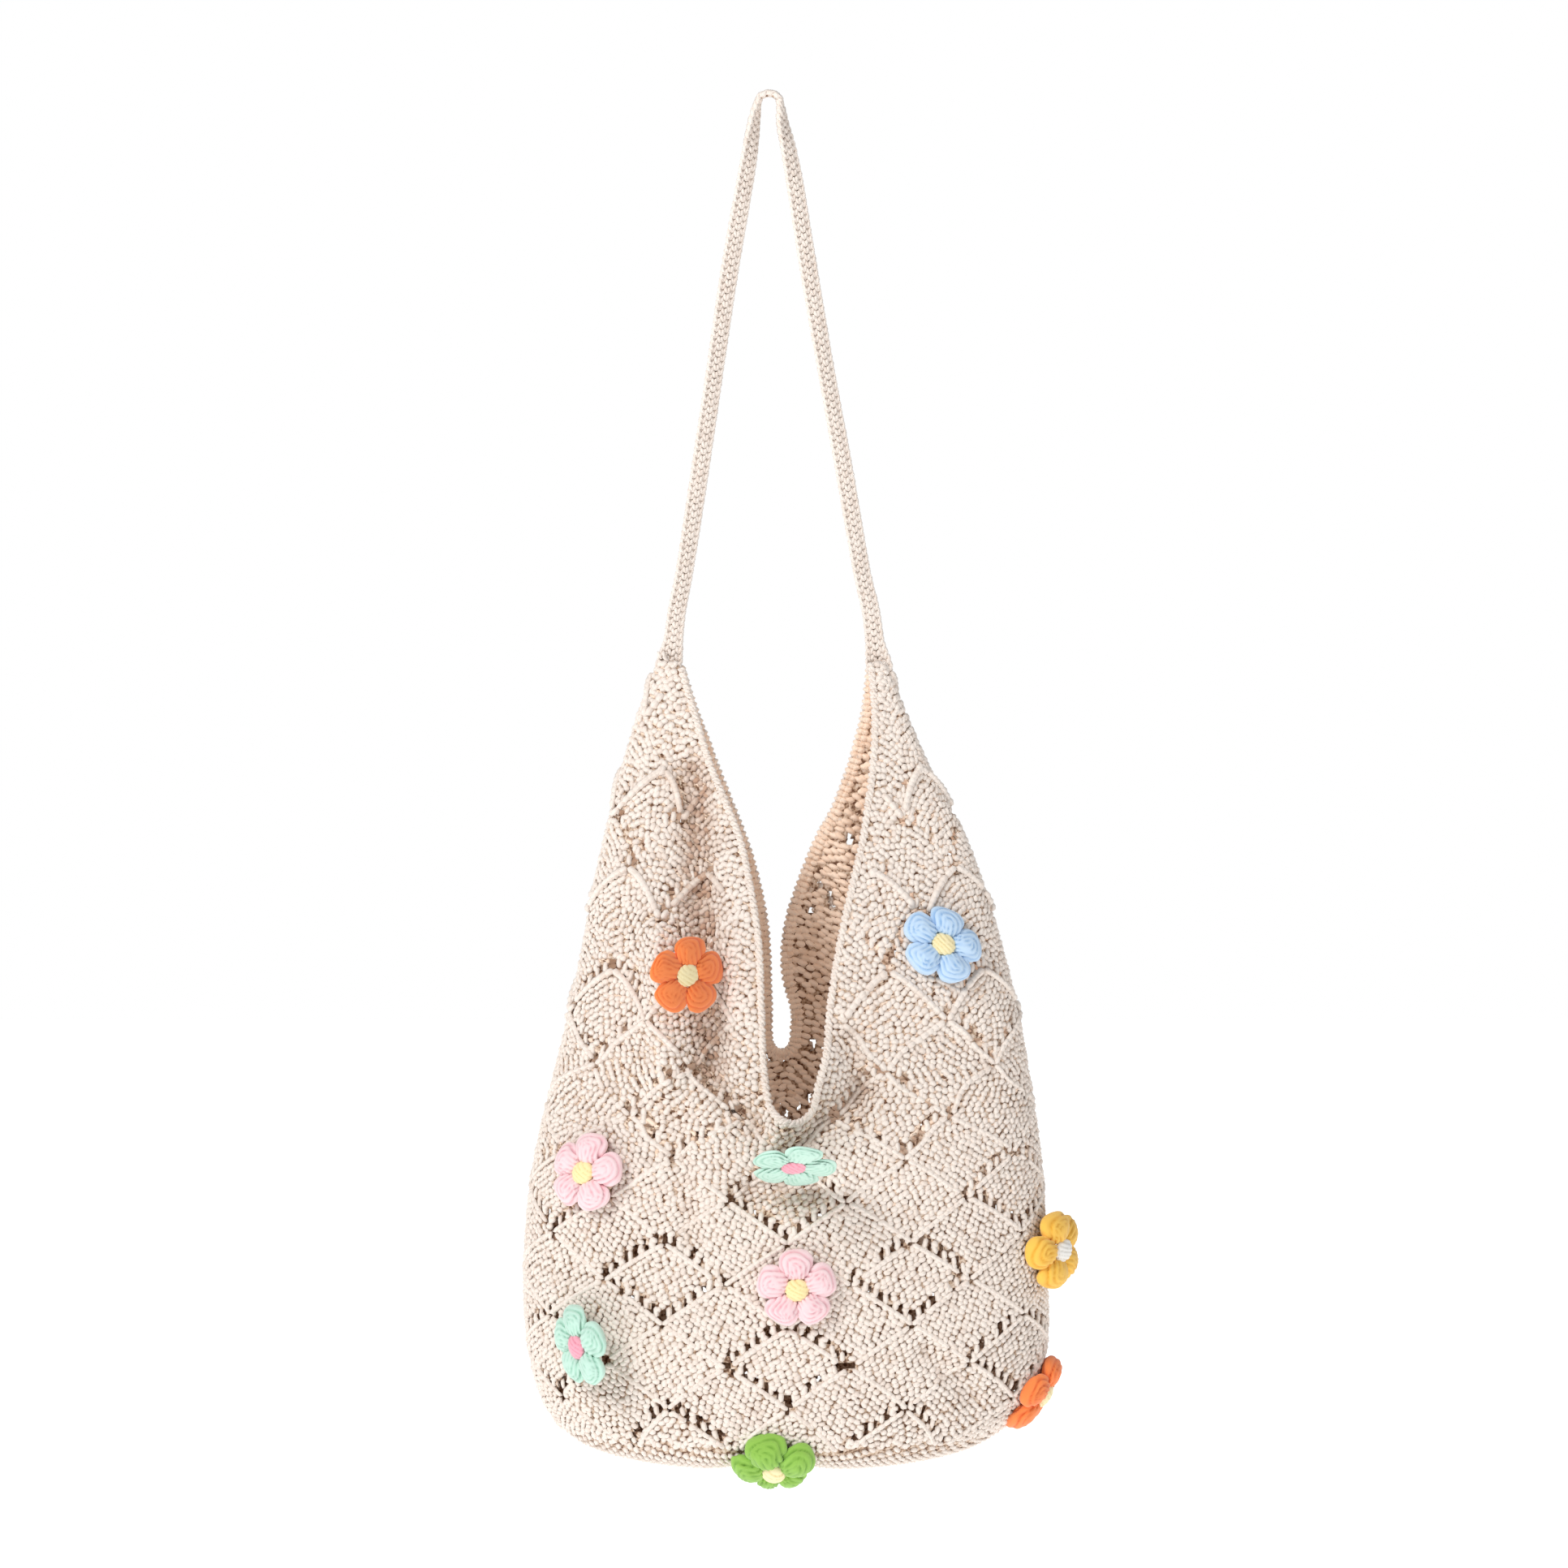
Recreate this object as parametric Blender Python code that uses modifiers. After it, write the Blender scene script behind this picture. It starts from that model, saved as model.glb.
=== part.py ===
"""A crochet shoulder bag that hangs from its strap, in metres, +Z up.

The origin is the hang point, under the top of the strap. The bag faces -Y.
The body is one knitted wall with a low V at the front and a higher one at the back.
Two edgings follow the Vs, the strap is sewn to the two points of the body, and puff
flowers of five petals and a button lie on the wall.
"""

import math

import bmesh
import bpy
import numpy as np
from mathutils import Matrix, Vector
from mathutils.bvhtree import BVHTree

# Driving sizes
BODY_WIDTH = 0.348
BODY_DEPTH = 0.150
BODY_HEIGHT = 0.521
SIDE_ROUNDING = 0.014
WALL = 0.003
STRAP_DROP = 0.3675
STRAP_WIDTH = 0.0115
STRAP_THICKNESS = 0.005
POINT_SPACING = 0.136
EDGING_RADIUS = 0.0024
NECK_ROUNDING = 0.014
FLOWER_RADIUS = 0.0265
PETAL_HEIGHT = 0.012
BUTTON_RADIUS = 0.0068
BUTTON_HEIGHT = 0.0075
EYELET_WIDTH = 0.0052
EYELET_HEIGHT = 0.0084
PIECE_GAP = 0.0003

# Counts
TILES_AROUND = 10
COLUMNS_BACK = 6
COLUMNS_FRONT = 11
SURFACE_STATIONS = 321
SURFACE_SAMPLES = 721

# The body from the middle of the bottom to the points, a row for each section.
# height is a share of BODY_HEIGHT, width and depth of the half sizes, shift of BODY_WIDTH.
PROFILE_COLUMNS = ("station", "height", "width", "depth", "shift")
PROFILE = (
    (0.000, 0.000, 0.000, 0.000, 0.022),
    (0.050, 0.000, 0.330, 0.340, 0.022),
    (0.090, 0.004, 0.600, 0.600, 0.022),
    (0.120, 0.018, 0.780, 0.790, 0.023),
    (0.150, 0.044, 0.900, 0.890, 0.029),
    (0.185, 0.084, 0.970, 0.960, 0.034),
    (0.220, 0.124, 0.994, 0.990, 0.034),
    (0.310, 0.226, 1.000, 1.000, 0.030),
    (0.450, 0.386, 0.958, 0.950, 0.036),
    (0.520, 0.466, 0.910, 0.870, 0.041),
    (0.590, 0.546, 0.860, 0.770, 0.046),
    (0.660, 0.626, 0.805, 0.660, 0.044),
    (0.740, 0.716, 0.740, 0.540, 0.037),
    (0.805, 0.790, 0.672, 0.430, 0.028),
    (0.870, 0.863, 0.586, 0.310, 0.013),
    (0.925, 0.925, 0.517, 0.220, 0.006),
    (1.000, 1.000, 0.430, 0.130, 0.005),
)

# The neckline, a row for each height above the low point of the V, as a share of the
# way to the points. left and right are the openings each way, as shares of half
# BODY_WIDTH from the middle of the V.
NECK_COLUMNS = ("rise", "left", "right")
FRONT_NECK_HEIGHT = 0.433
FRONT_NECK_SHIFT = 0.089
FRONT_NECK = (
    (0.000, 0.085, 0.075),
    (0.095, 0.113, 0.109),
    (0.147, 0.121, 0.131),
    (0.250, 0.127, 0.146),
    (0.423, 0.143, 0.195),
    (0.526, 0.173, 0.235),
    (0.610, 0.204, 0.269),
    (0.680, 0.250, 0.288),
    (0.775, 0.318, 0.309),
    (0.891, 0.380, 0.318),
    (1.000, 0.434, 0.302),
)
BACK_NECK_HEIGHT = 0.473
BACK_NECK_SHIFT = 0.046
BACK_NECK = (
    (0.000, 0.070, 0.070),
    (0.060, 0.076, 0.072),
    (0.115, 0.076, 0.078),
    (0.222, 0.080, 0.040),
    (0.282, 0.083, 0.038),
    (0.365, 0.095, 0.058),
    (0.445, 0.120, 0.098),
    (0.540, 0.160, 0.154),
    (0.652, 0.225, 0.236),
    (0.763, 0.290, 0.300),
    (0.860, 0.340, 0.332),
    (1.000, 0.395, 0.345),
)

# Folds of the wall, a row for each. side is -1 on the front and 1 on the back. The fold
# runs from one point to the other, x as a share of half BODY_WIDTH and height as a share
# of BODY_HEIGHT. spread is a share of BODY_WIDTH, and rise of BODY_DEPTH.
FOLD_COLUMNS = ("side", "x_from", "height_from", "x_to", "height_to", "spread", "rise")
FOLDS = (
    (-1, -0.290, 0.860, -0.230, 0.521, 0.038, -0.088),
    (-1, -0.230, 0.500, -0.050, 0.432, 0.026, -0.060),
    (-1, -0.400, 0.660, -0.390, 0.490, 0.036, 0.070),
    (-1, 0.190, 0.516, 0.060, 0.440, 0.034, 0.080),
    (-1, 0.360, 0.478, 0.060, 0.395, 0.026, -0.070),
    (-1, -0.080, 0.352, 0.160, 0.352, 0.034, -0.085),
    (-1, 0.310, 0.540, 0.350, 0.440, 0.026, -0.035),
    (-1, -0.347, 0.437, -0.300, 0.289, 0.024, -0.035),
    (-1, 0.590, 0.143, 0.775, 0.083, 0.022, -0.030),
    (1, 0.300, 0.800, 0.360, 0.450, 0.040, -0.060),
    (1, -0.420, 0.640, -0.250, 0.360, 0.036, -0.040),
    (1, -0.100, 0.300, 0.150, 0.160, 0.040, -0.030),
)

# The strap from the left point over the hook to the right point, a row for each place.
# x is a share of POINT_SPACING, height of STRAP_DROP, and turn is how far the wide face
# has turned away from the front, in degrees.
STRAP_COLUMNS = ("x", "height", "turn")
STRAP_ROUTE = (
    (-0.468, -0.975, 8),
    (-0.445, -0.910, 18),
    (-0.407, -0.837, 24),
    (-0.333, -0.662, 20),
    (-0.262, -0.488, 26),
    (-0.191, -0.313, 22),
    (-0.108, -0.138, 30),
    (-0.073, -0.051, 62),
    (-0.062, -0.026, 80),
    (-0.042, -0.006, 90),
    (0.000, 0.000, 90),
    (0.040, -0.006, 90),
    (0.056, -0.026, 104),
    (0.064, -0.051, 120),
    (0.114, -0.138, 150),
    (0.191, -0.313, 158),
    (0.274, -0.488, 152),
    (0.360, -0.662, 160),
    (0.443, -0.837, 156),
    (0.488, -0.910, 164),
    (0.512, -0.975, 172),
)

# The rows of tiles, as row numbers of half a tile against height.
TILE_ROW_COLUMNS = ("row", "height")
TILE_ROWS = (
    (-1.0, 0.025),
    (1.0, 0.129),
    (3.0, 0.235),
    (5.0, 0.340),
    (7.0, 0.442),
    (9.0, 0.560),
    (11.0, 0.685),
    (13.0, 0.810),
    (16.0, 1.000),
)
FIRST_TILE_ROW = 1
LAST_TILE_ROW = 14
TILE_SHIFT = 0.034

# The flowers, a row for each. x is a share of the half width there, height a share of
# BODY_HEIGHT, spin turns the flower on the wall, and nod and turn tip it down and to the
# right, all three in degrees.
FLOWER_COLUMNS = ("name", "x", "height", "spin", "nod", "turn", "petals", "button")
FLOWERS = (
    ("blue", 0.700, 0.651, -6, 0, 0, "#A9CCF2", "#EFE2B8"),
    ("orange_upper", -0.451, 0.614, 20, 0, 46, "#F5823F", "#EFE2B0"),
    ("pink_left", -0.766, 0.367, 12, 0, -6, "#F7C6D3", "#F7E3AC"),
    ("mint_upper", 0.018, 0.386, 0, 54, 0, "#BFE6D3", "#EE9DB2"),
    ("pink_middle", 0.042, 0.232, 20, 0, 0, "#F5BFCB", "#F8E3A6"),
    ("yellow", 0.985, 0.253, 30, 0, -14, "#F4BE4B", "#F4F1EC"),
    ("mint_lower", -0.742, 0.154, 26, 0, -26, "#BFE6D3", "#EE9DB2"),
    ("orange_lower", 0.992, 0.070, 14, 0, 0, "#F4793D", "#F1E3BC"),
    ("green", -0.040, 0.009, 32, -18, 0, "#8CC152", "#F3DDAE"),
)
PETALS = 5
SIDES_PER_PETAL = 4
PETAL_PROFILE_COLUMNS = ("radius", "height", "lobing")
PETAL_PROFILE = (
    (0.00, 0.00, 0.00),
    (0.42, 0.00, 0.40),
    (0.80, 0.00, 1.00),
    (1.00, 0.38, 1.00),
    (0.84, 0.86, 1.00),
    (0.50, 1.00, 0.40),
    (0.29, 0.42, 0.00),
    (0.00, 0.40, 0.00),
)
PETAL_CLEFT = 0.36
SEAT_STEP = 0.00025

COTTON = "#E6DACD"
COTTON_EDGE = "#E9DED2"


def column(table, names, name):
    """One named column of a table."""
    return np.array([row[names.index(name)] for row in table], float)


def eased(table, names, name, at):
    """The smooth curve through one column of a table, read at places in its first column."""
    x = column(table, names, names[0])
    y = column(table, names, name)
    slope = np.gradient(y, x)
    at = np.clip(at, x[0], x[-1])
    i = np.clip(np.searchsorted(x, at) - 1, 0, len(x) - 2)
    step = x[i + 1] - x[i]
    t = (at - x[i]) / step
    start = (1 + 2 * t) * (1 - t) ** 2 * y[i] + t * (1 - t) ** 2 * step * slope[i]
    end = t * t * (3 - 2 * t) * y[i + 1] + t * t * (t - 1) * step * slope[i + 1]
    return start + end


def world_height(share):
    """Height in the part's frame of a share of the body's height."""
    return (share - 1) * BODY_HEIGHT - STRAP_DROP


def plain_wall(station, around):
    """Points on the body before its folds. around runs from 0 at the middle of the back
    through the left side, the front at 0.5 and the right side."""
    station, around = np.broadcast_arrays(station, around)
    width = eased(PROFILE, PROFILE_COLUMNS, "width", station) * BODY_WIDTH / 2
    depth = eased(PROFILE, PROFILE_COLUMNS, "depth", station) * BODY_DEPTH / 2
    shift = eased(PROFILE, PROFILE_COLUMNS, "shift", station) * BODY_WIDTH
    height = eased(PROFILE, PROFILE_COLUMNS, "height", station)
    angle = 2 * math.pi * around
    rounding = depth * SIDE_ROUNDING / (depth + SIDE_ROUNDING)
    core_width, core_depth = width - rounding, depth - rounding
    out_x, out_y = core_depth * np.sin(angle), core_width * np.cos(angle)
    reach = rounding / np.maximum(np.hypot(out_x, out_y), 1e-12)
    x = shift - core_width * np.sin(angle) - reach * out_x
    y = core_depth * np.cos(angle) + reach * out_y
    return np.stack([x, y, world_height(height)], axis=-1)


def normals_of(points):
    """Outward normals of a grid of wall points, stations by samples around."""
    along = np.gradient(points, axis=0)
    around = np.empty_like(points)
    around[:, 1:-1] = points[:, 2:] - points[:, :-2]
    around[:, 0] = around[:, -1] = points[:, 1] - points[:, -2]
    normal = np.cross(around, along)
    length = np.linalg.norm(normal, axis=-1, keepdims=True)
    return normal / np.maximum(length, 1e-12)


def folded(points, normals):
    """Wall points moved in and out by the folds."""
    moved = points.copy()
    for row in FOLDS:
        fold = dict(zip(FOLD_COLUMNS, row))
        start = np.array([fold["x_from"] * BODY_WIDTH / 2, world_height(fold["height_from"])])
        end = np.array([fold["x_to"] * BODY_WIDTH / 2, world_height(fold["height_to"])])
        flat = points[..., [0, 2]] - start
        run = end - start
        along = np.clip(flat @ run / (run @ run), 0, 1)
        away = np.linalg.norm(flat - along[..., None] * run, axis=-1)
        facing = np.clip(normals[..., 1] * fold["side"] * 2, 0, 1)
        rise = fold["rise"] * BODY_DEPTH * np.exp(-((away / (fold["spread"] * BODY_WIDTH)) ** 2))
        moved += normals * (rise * facing)[..., None]
    return moved


class Wall:
    """The outer face of the body, sampled evenly around each section, with or without
    its folds."""

    def __init__(self, folds=True):
        stations = np.linspace(0, 1, SURFACE_STATIONS)[:, None]
        turn = np.linspace(0, 1, SURFACE_SAMPLES)[None, :]
        loose = plain_wall(stations, turn)
        if folds:
            loose = folded(loose, normals_of(loose))
        self.stations = stations[:, 0]
        self.evenly = np.linspace(0, 1, SURFACE_SAMPLES)
        self.points = np.empty_like(loose)
        self.girth = np.empty(SURFACE_STATIONS)
        for i, ring in enumerate(loose):
            steps = np.linalg.norm(np.diff(ring, axis=0), axis=1)
            length = np.concatenate([[0], np.cumsum(steps)])
            self.girth[i] = length[-1]
            share = length / length[-1] if length[-1] > 1e-9 else self.evenly
            for axis in range(3):
                self.points[i, :, axis] = np.interp(self.evenly, share, ring[:, axis])
        self.normals = normals_of(self.points)
        self.normals[0] = (0, 0, -1)
        self.heights = eased(PROFILE, PROFILE_COLUMNS, "height", self.stations)
        self.rising = np.maximum.accumulate(self.heights + 1e-6 * self.stations)

    def read(self, grid, station, around):
        """A grid's value between its samples."""
        row = np.clip(station, 0, 1) * (SURFACE_STATIONS - 1)
        col = np.mod(around, 1) * (SURFACE_SAMPLES - 1)
        i = np.minimum(row.astype(int), SURFACE_STATIONS - 2)
        j = np.minimum(col.astype(int), SURFACE_SAMPLES - 2)
        a = (row - i)[..., None]
        b = (col - j)[..., None]
        low = grid[i, j] * (1 - b) + grid[i, j + 1] * b
        high = grid[i + 1, j] * (1 - b) + grid[i + 1, j + 1] * b
        return low * (1 - a) + high * a

    def point(self, station, around):
        """The point of the wall there, and the outward normal."""
        station, around = np.broadcast_arrays(
            np.asarray(station, float), np.asarray(around, float)
        )
        normal = self.read(self.normals, station, around)
        normal /= np.linalg.norm(normal, axis=-1, keepdims=True)
        return self.read(self.points, station, around), normal

    def station_at(self, height):
        """Station of a share of the body's height."""
        return np.interp(height, self.rising, self.stations)

    def around_at(self, station, x, back=False):
        """Share of the way around where a section of the wall reaches x."""
        half = (SURFACE_SAMPLES - 1) // 4
        line = self.read(self.points, np.full(SURFACE_SAMPLES, station), self.evenly)[:, 0]
        if back:
            ring = np.concatenate([line[3 * half : -1], line[: half + 1]])
            turn = np.concatenate([self.evenly[3 * half : -1] - 1, self.evenly[: half + 1]])
            return float(np.interp(-x, -ring, turn))
        return float(np.interp(x, line[half : 3 * half + 1], self.evenly[half : 3 * half + 1]))


def neck_opening(table, low_height, shift, height):
    """Left and right edge of a V at a height, in metres from the bag's middle."""
    middle = shift * BODY_WIDTH / 2
    rise = (height - low_height) / (1 - low_height)
    if rise <= 0:
        return middle, middle
    above = min(rise * (1 - low_height) * BODY_HEIGHT / NECK_ROUNDING, 1)
    rounding = math.sqrt(1 - (1 - above) ** 2)
    left = eased(table, NECK_COLUMNS, "left", rise) * BODY_WIDTH / 2
    right = eased(table, NECK_COLUMNS, "right", rise) * BODY_WIDTH / 2
    return middle - rounding * left, middle + rounding * right


def halves(wall, height):
    """The spans of wall at a height: left half from back to front, right half from front
    to back, as shares of the way around."""
    station = float(wall.station_at(height))
    front = neck_opening(FRONT_NECK, FRONT_NECK_HEIGHT, FRONT_NECK_SHIFT, height)
    back = neck_opening(BACK_NECK, BACK_NECK_HEIGHT, BACK_NECK_SHIFT, height)
    left = wall.around_at(station, back[0], back=True), wall.around_at(station, front[0])
    right = wall.around_at(station, front[1]), wall.around_at(station, back[1], back=True) + 1
    return left, right


def neck_steps(low_height):
    """Heights of the rows that round the bottom of a V."""
    quarter = [0, math.pi / 6, math.pi / 3, math.pi / 2]
    return [low_height + NECK_ROUNDING / BODY_HEIGHT * (1 - math.cos(a)) for a in quarter]


def row_stations(wall):
    """Stations of the body's rows, with the rounded bottoms of both Vs among them."""
    bottom = [0.0, 0.05, 0.09, 0.12, 0.15, 0.185, 0.225]
    steps = neck_steps(FRONT_NECK_HEIGHT) + neck_steps(BACK_NECK_HEIGHT)
    necks = [float(wall.station_at(h)) for h in steps]
    close = np.linspace(0.264, 0.469, 8)
    plain = np.concatenate([close, np.linspace(0.505, 1, 12)])
    plain = [s for s in plain if min(abs(s - n) for n in necks) > 0.012]
    return sorted(bottom + necks + plain)


def new_object(name, mesh, colour, collection):
    """Links a mesh as a named object with its own material."""
    made = bpy.data.objects.new(name, mesh)
    collection.objects.link(made)
    material = bpy.data.materials.new(name)
    material.use_nodes = True
    shader = material.node_tree.nodes["Principled BSDF"]
    shader.inputs["Base Color"].default_value = (*linear(colour), 1)
    shader.inputs["Roughness"].default_value = 0.95
    shader.inputs["Metallic"].default_value = 0.0
    made.data.materials.append(material)
    return made


def linear(colour):
    """An sRGB hex colour as linear values."""
    parts = [int(colour[i : i + 2], 16) / 255 for i in (1, 3, 5)]
    return [p / 12.92 if p < 0.04045 else ((p + 0.055) / 1.055) ** 2.4 for p in parts]


def mesh_from(bm, name):
    """Closes a bmesh into a mesh with smooth faces and creases kept sharp."""
    bm.normal_update()
    bmesh.ops.recalc_face_normals(bm, faces=bm.faces)
    mesh = bpy.data.meshes.new(name)
    bm.to_mesh(mesh)
    bm.free()
    mesh.shade_smooth()
    mesh.set_sharp_from_angle(angle=math.radians(50))
    return mesh


def strip_columns():
    """Places of the columns across half the wall, closer together on the front."""
    back = np.linspace(0, 0.5, COLUMNS_BACK + 1)[:-1]
    front = np.linspace(0.5, 1, COLUMNS_FRONT + 1)
    return np.concatenate([back, front])


def body_sheet(wall):
    """The body's outer face as an open sheet, and its rims along the front and back V."""
    bm = bmesh.new()
    across = strip_columns()
    rims = {"front": ([], []), "back": ([], [])}
    rows = {0: [], 1: []}
    for station in row_stations(wall):
        height = float(eased(PROFILE, PROFILE_COLUMNS, "height", station))
        for half, (start, end) in enumerate(halves(wall, height)):
            share = across if half == 0 else 1 - across[::-1]
            turn = start + (end - start) * share
            points, normals = wall.point(np.full(len(turn), station), turn)
            rows[half].append([bm.verts.new(p) for p in points])
            ends = ("back", 0), ("front", -1)
            for side, k in ends if half == 0 else (("front", 0), ("back", -1)):
                if open_at(side, height):
                    rims[side][half].append((points[k], normals[k]))
    for half in rows.values():
        for low, high in zip(half, half[1:]):
            for a, b, c, d in zip(low, low[1:], high[1:], high):
                bm.faces.new((a, b, c, d))
    bmesh.ops.remove_doubles(bm, verts=bm.verts, dist=1e-5)
    bmesh.ops.dissolve_degenerate(bm, edges=bm.edges, dist=1e-5)
    return bm, rims


def open_at(side, height):
    """Whether the V on a side has opened at a height."""
    low = FRONT_NECK_HEIGHT if side == "front" else BACK_NECK_HEIGHT
    return height >= low - 1e-6


def tile_nodes(wall):
    """Corners of the knitted tiles, as station and share of the way around."""
    rows = column(TILE_ROWS, TILE_ROW_COLUMNS, "row")
    heights = column(TILE_ROWS, TILE_ROW_COLUMNS, "height")
    for row in range(FIRST_TILE_ROW, LAST_TILE_ROW + 1):
        height = float(np.interp(row, rows, heights))
        station = float(wall.station_at(height))
        middle = wall.around_at(station, TILE_SHIFT * BODY_WIDTH)
        for k in range(TILES_AROUND):
            yield station, (middle + (k + (row % 2) / 2) / TILES_AROUND) % 1


def clear_of_edges(wall, seats, station, around):
    """Whether an eyelet there lies on the wall, clear of its rims and of the flowers."""
    height = float(eased(PROFILE, PROFILE_COLUMNS, "height", station))
    girth = float(np.interp(station, wall.stations, wall.girth))
    margin = 1.6 * EYELET_WIDTH / girth
    spans = [(start + margin, end - margin) for start, end in halves(wall, height)]
    closed_front = height < FRONT_NECK_HEIGHT - 1.2 * EYELET_HEIGHT / BODY_HEIGHT
    closed_back = height < BACK_NECK_HEIGHT - 1.2 * EYELET_HEIGHT / BODY_HEIGHT
    front_side = 0.25 < around < 0.75
    whole = closed_front if front_side else closed_back
    inside = any(low <= a <= high for low, high in spans for a in (around, around + 1))
    if not (whole or inside):
        return False
    here = wall.point(station, around)[0]
    return min(np.linalg.norm(here - seat) for seat in seats) > FLOWER_RADIUS


def eyelet_cutter(wall, collection):
    """Diamond slots through the wall at the tiles' corners, as one cutter."""
    bm = bmesh.new()
    seats = [wall.point(*flower_seat(wall, flower))[0] for flower in flower_rows()]
    for station, around in tile_nodes(wall):
        if not clear_of_edges(wall, seats, station, around):
            continue
        point, normal = wall.point(station, around)
        out = Vector(normal)
        side = Vector((0, 0, 1)).cross(out).normalized()
        up = out.cross(side)
        place = Matrix((side, up, out)).transposed().to_4x4()
        place.translation = Vector(point)
        size = Matrix.Diagonal((EYELET_WIDTH / 2, EYELET_HEIGHT / 2, 1, 1))
        bmesh.ops.create_cone(
            bm,
            cap_ends=True,
            segments=4,
            radius1=1,
            radius2=1,
            depth=5 * WALL,
            matrix=place @ size,
        )
    cutter = bpy.data.objects.new("eyelet_cutter", mesh_from(bm, "eyelet_cutter"))
    cutter.hide_render = True
    cutter.display_type = "WIRE"
    collection.objects.link(cutter)
    return cutter


def make_body(wall, sheet, parts, cutters):
    """The body: a wall of even thickness, pierced by the corner eyelets."""
    body = new_object("bag_body", mesh_from(sheet, "bag_body"), COTTON, parts)
    shell = body.modifiers.new("wall", "SOLIDIFY")
    shell.thickness = WALL
    shell.offset = -1
    cut = body.modifiers.new("eyelets", "BOOLEAN")
    cut.object = eyelet_cutter(wall, cutters)
    cut.operation = "DIFFERENCE"
    cut.solver = "EXACT"
    return body


def make_edging(name, rims, body, parts):
    """A round edging along one V, from the left point to the right one, clear of the rim."""
    left, right = rims
    rim = left[::-1] + right[1:]
    normals = np.array([normal for _, normal in rim])
    points = np.array([point for point, _ in rim]) - normals * WALL / 2
    tangent = np.gradient(points, axis=0)
    out = np.cross(normals, tangent)
    out /= np.linalg.norm(out, axis=1, keepdims=True)
    out *= np.sign(out[np.argmin(points[:, 2]), 2])
    curve = bpy.data.curves.new(name, "CURVE")
    curve.dimensions = "3D"
    curve.bevel_depth = EDGING_RADIUS
    curve.bevel_resolution = 1
    curve.use_fill_caps = True
    spline = curve.splines.new("POLY")
    spline.points.add(len(points) - 3)
    edging = new_object(name, curve, COTTON_EDGE, parts)
    gap = PIECE_GAP
    while True:
        line = points + out * (EDGING_RADIUS + gap)
        for slot, point in zip(spline.points, line[1:-1]):
            slot.co = (*point, 1)
        bpy.context.view_layer.update()
        if not solid_tree(edging).overlap(body):
            return edging
        gap += SEAT_STEP


def strap_line():
    """Middle line of the strap, its turn, and the height of its ends."""
    x = column(STRAP_ROUTE, STRAP_COLUMNS, "x") * POINT_SPACING
    z = column(STRAP_ROUTE, STRAP_COLUMNS, "height") * STRAP_DROP + STRAP_THICKNESS / 2
    turn = np.radians(column(STRAP_ROUTE, STRAP_COLUMNS, "turn"))
    return x, z, turn


def through(values, per_span):
    """A smooth run of values through the given ones."""
    ends = np.concatenate([[2 * values[0] - values[1]], values, [2 * values[-1] - values[-2]]])
    run = []
    for a, b, c, d in zip(ends, ends[1:], ends[2:], ends[3:]):
        for t in np.arange(per_span) / per_span:
            run.append(
                0.5 * (2 * b + (c - a) * t + (2 * a - 5 * b + 4 * c - d) * t**2)
                + 0.5 * (3 * b - a - 3 * c + d) * t**3
            )
    return np.array(run + [values[-1]])


def make_strap(wall, parts):
    """The strap: one flat knitted band with rounded edges, turning as it rises."""
    x, z, turn = strap_line()
    foot = world_height(1) + PIECE_GAP
    for end, half in ((0, 0), (-1, 1)):
        middle = wall.point(1.0, np.linspace(*halves(wall, 1.0)[half], 9))[0].mean(axis=0)
        x = np.insert(x, 0, middle[0]) if end == 0 else np.append(x, middle[0])
        z = np.insert(z, 0, foot) if end == 0 else np.append(z, foot)
        turn = np.insert(turn, 0, 0.0) if end == 0 else np.append(turn, math.pi)
    x, z, turn = (through(values, 2) for values in (x, z, turn))
    bm = bmesh.new()
    rings = []
    for i, (cx, cz, angle) in enumerate(zip(x, z, turn)):
        before, after = max(i - 1, 0), min(i + 1, len(x) - 1)
        run = Vector((x[after] - x[before], 0, z[after] - z[before])).normalized()
        if i in (0, len(x) - 1):
            run = Vector((0, 0, 1 if i == 0 else -1))
        across = Vector((run.z, 0, -run.x))
        wide = across * math.cos(angle) + Vector((0, 1, 0)) * math.sin(angle)
        thick = wide.cross(run)
        half_wide, half_thick = STRAP_WIDTH / 2, STRAP_THICKNESS / 2
        corner = half_thick * 0.55
        outline = [
            (half_wide, -half_thick + corner),
            (half_wide, half_thick - corner),
            (half_wide - corner, half_thick),
            (-half_wide + corner, half_thick),
            (-half_wide, half_thick - corner),
            (-half_wide, -half_thick + corner),
            (-half_wide + corner, -half_thick),
            (half_wide - corner, -half_thick),
        ]
        centre = Vector((cx, 0, cz))
        rings.append([bm.verts.new(centre + wide * w + thick * t) for w, t in outline])
    for low, high in zip(rings, rings[1:]):
        for k in range(len(low)):
            n = (k + 1) % len(low)
            bm.faces.new((low[k], low[n], high[n], high[k]))
    bm.faces.new(rings[0])
    bm.faces.new(rings[-1])
    return new_object("shoulder_strap", mesh_from(bm, "shoulder_strap"), COTTON_EDGE, parts)


def flower_rows():
    """The flowers, each as a dictionary by column name."""
    return [dict(zip(FLOWER_COLUMNS, row)) for row in FLOWERS]


def flower_seat(wall, flower):
    """Station and share of the way around where a flower is sewn on."""
    station = float(wall.station_at(flower["height"]))
    half = float(eased(PROFILE, PROFILE_COLUMNS, "width", station)) * BODY_WIDTH / 2
    shift = float(eased(PROFILE, PROFILE_COLUMNS, "shift", station)) * BODY_WIDTH
    return station, wall.around_at(station, shift + flower["x"] * half)


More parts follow.
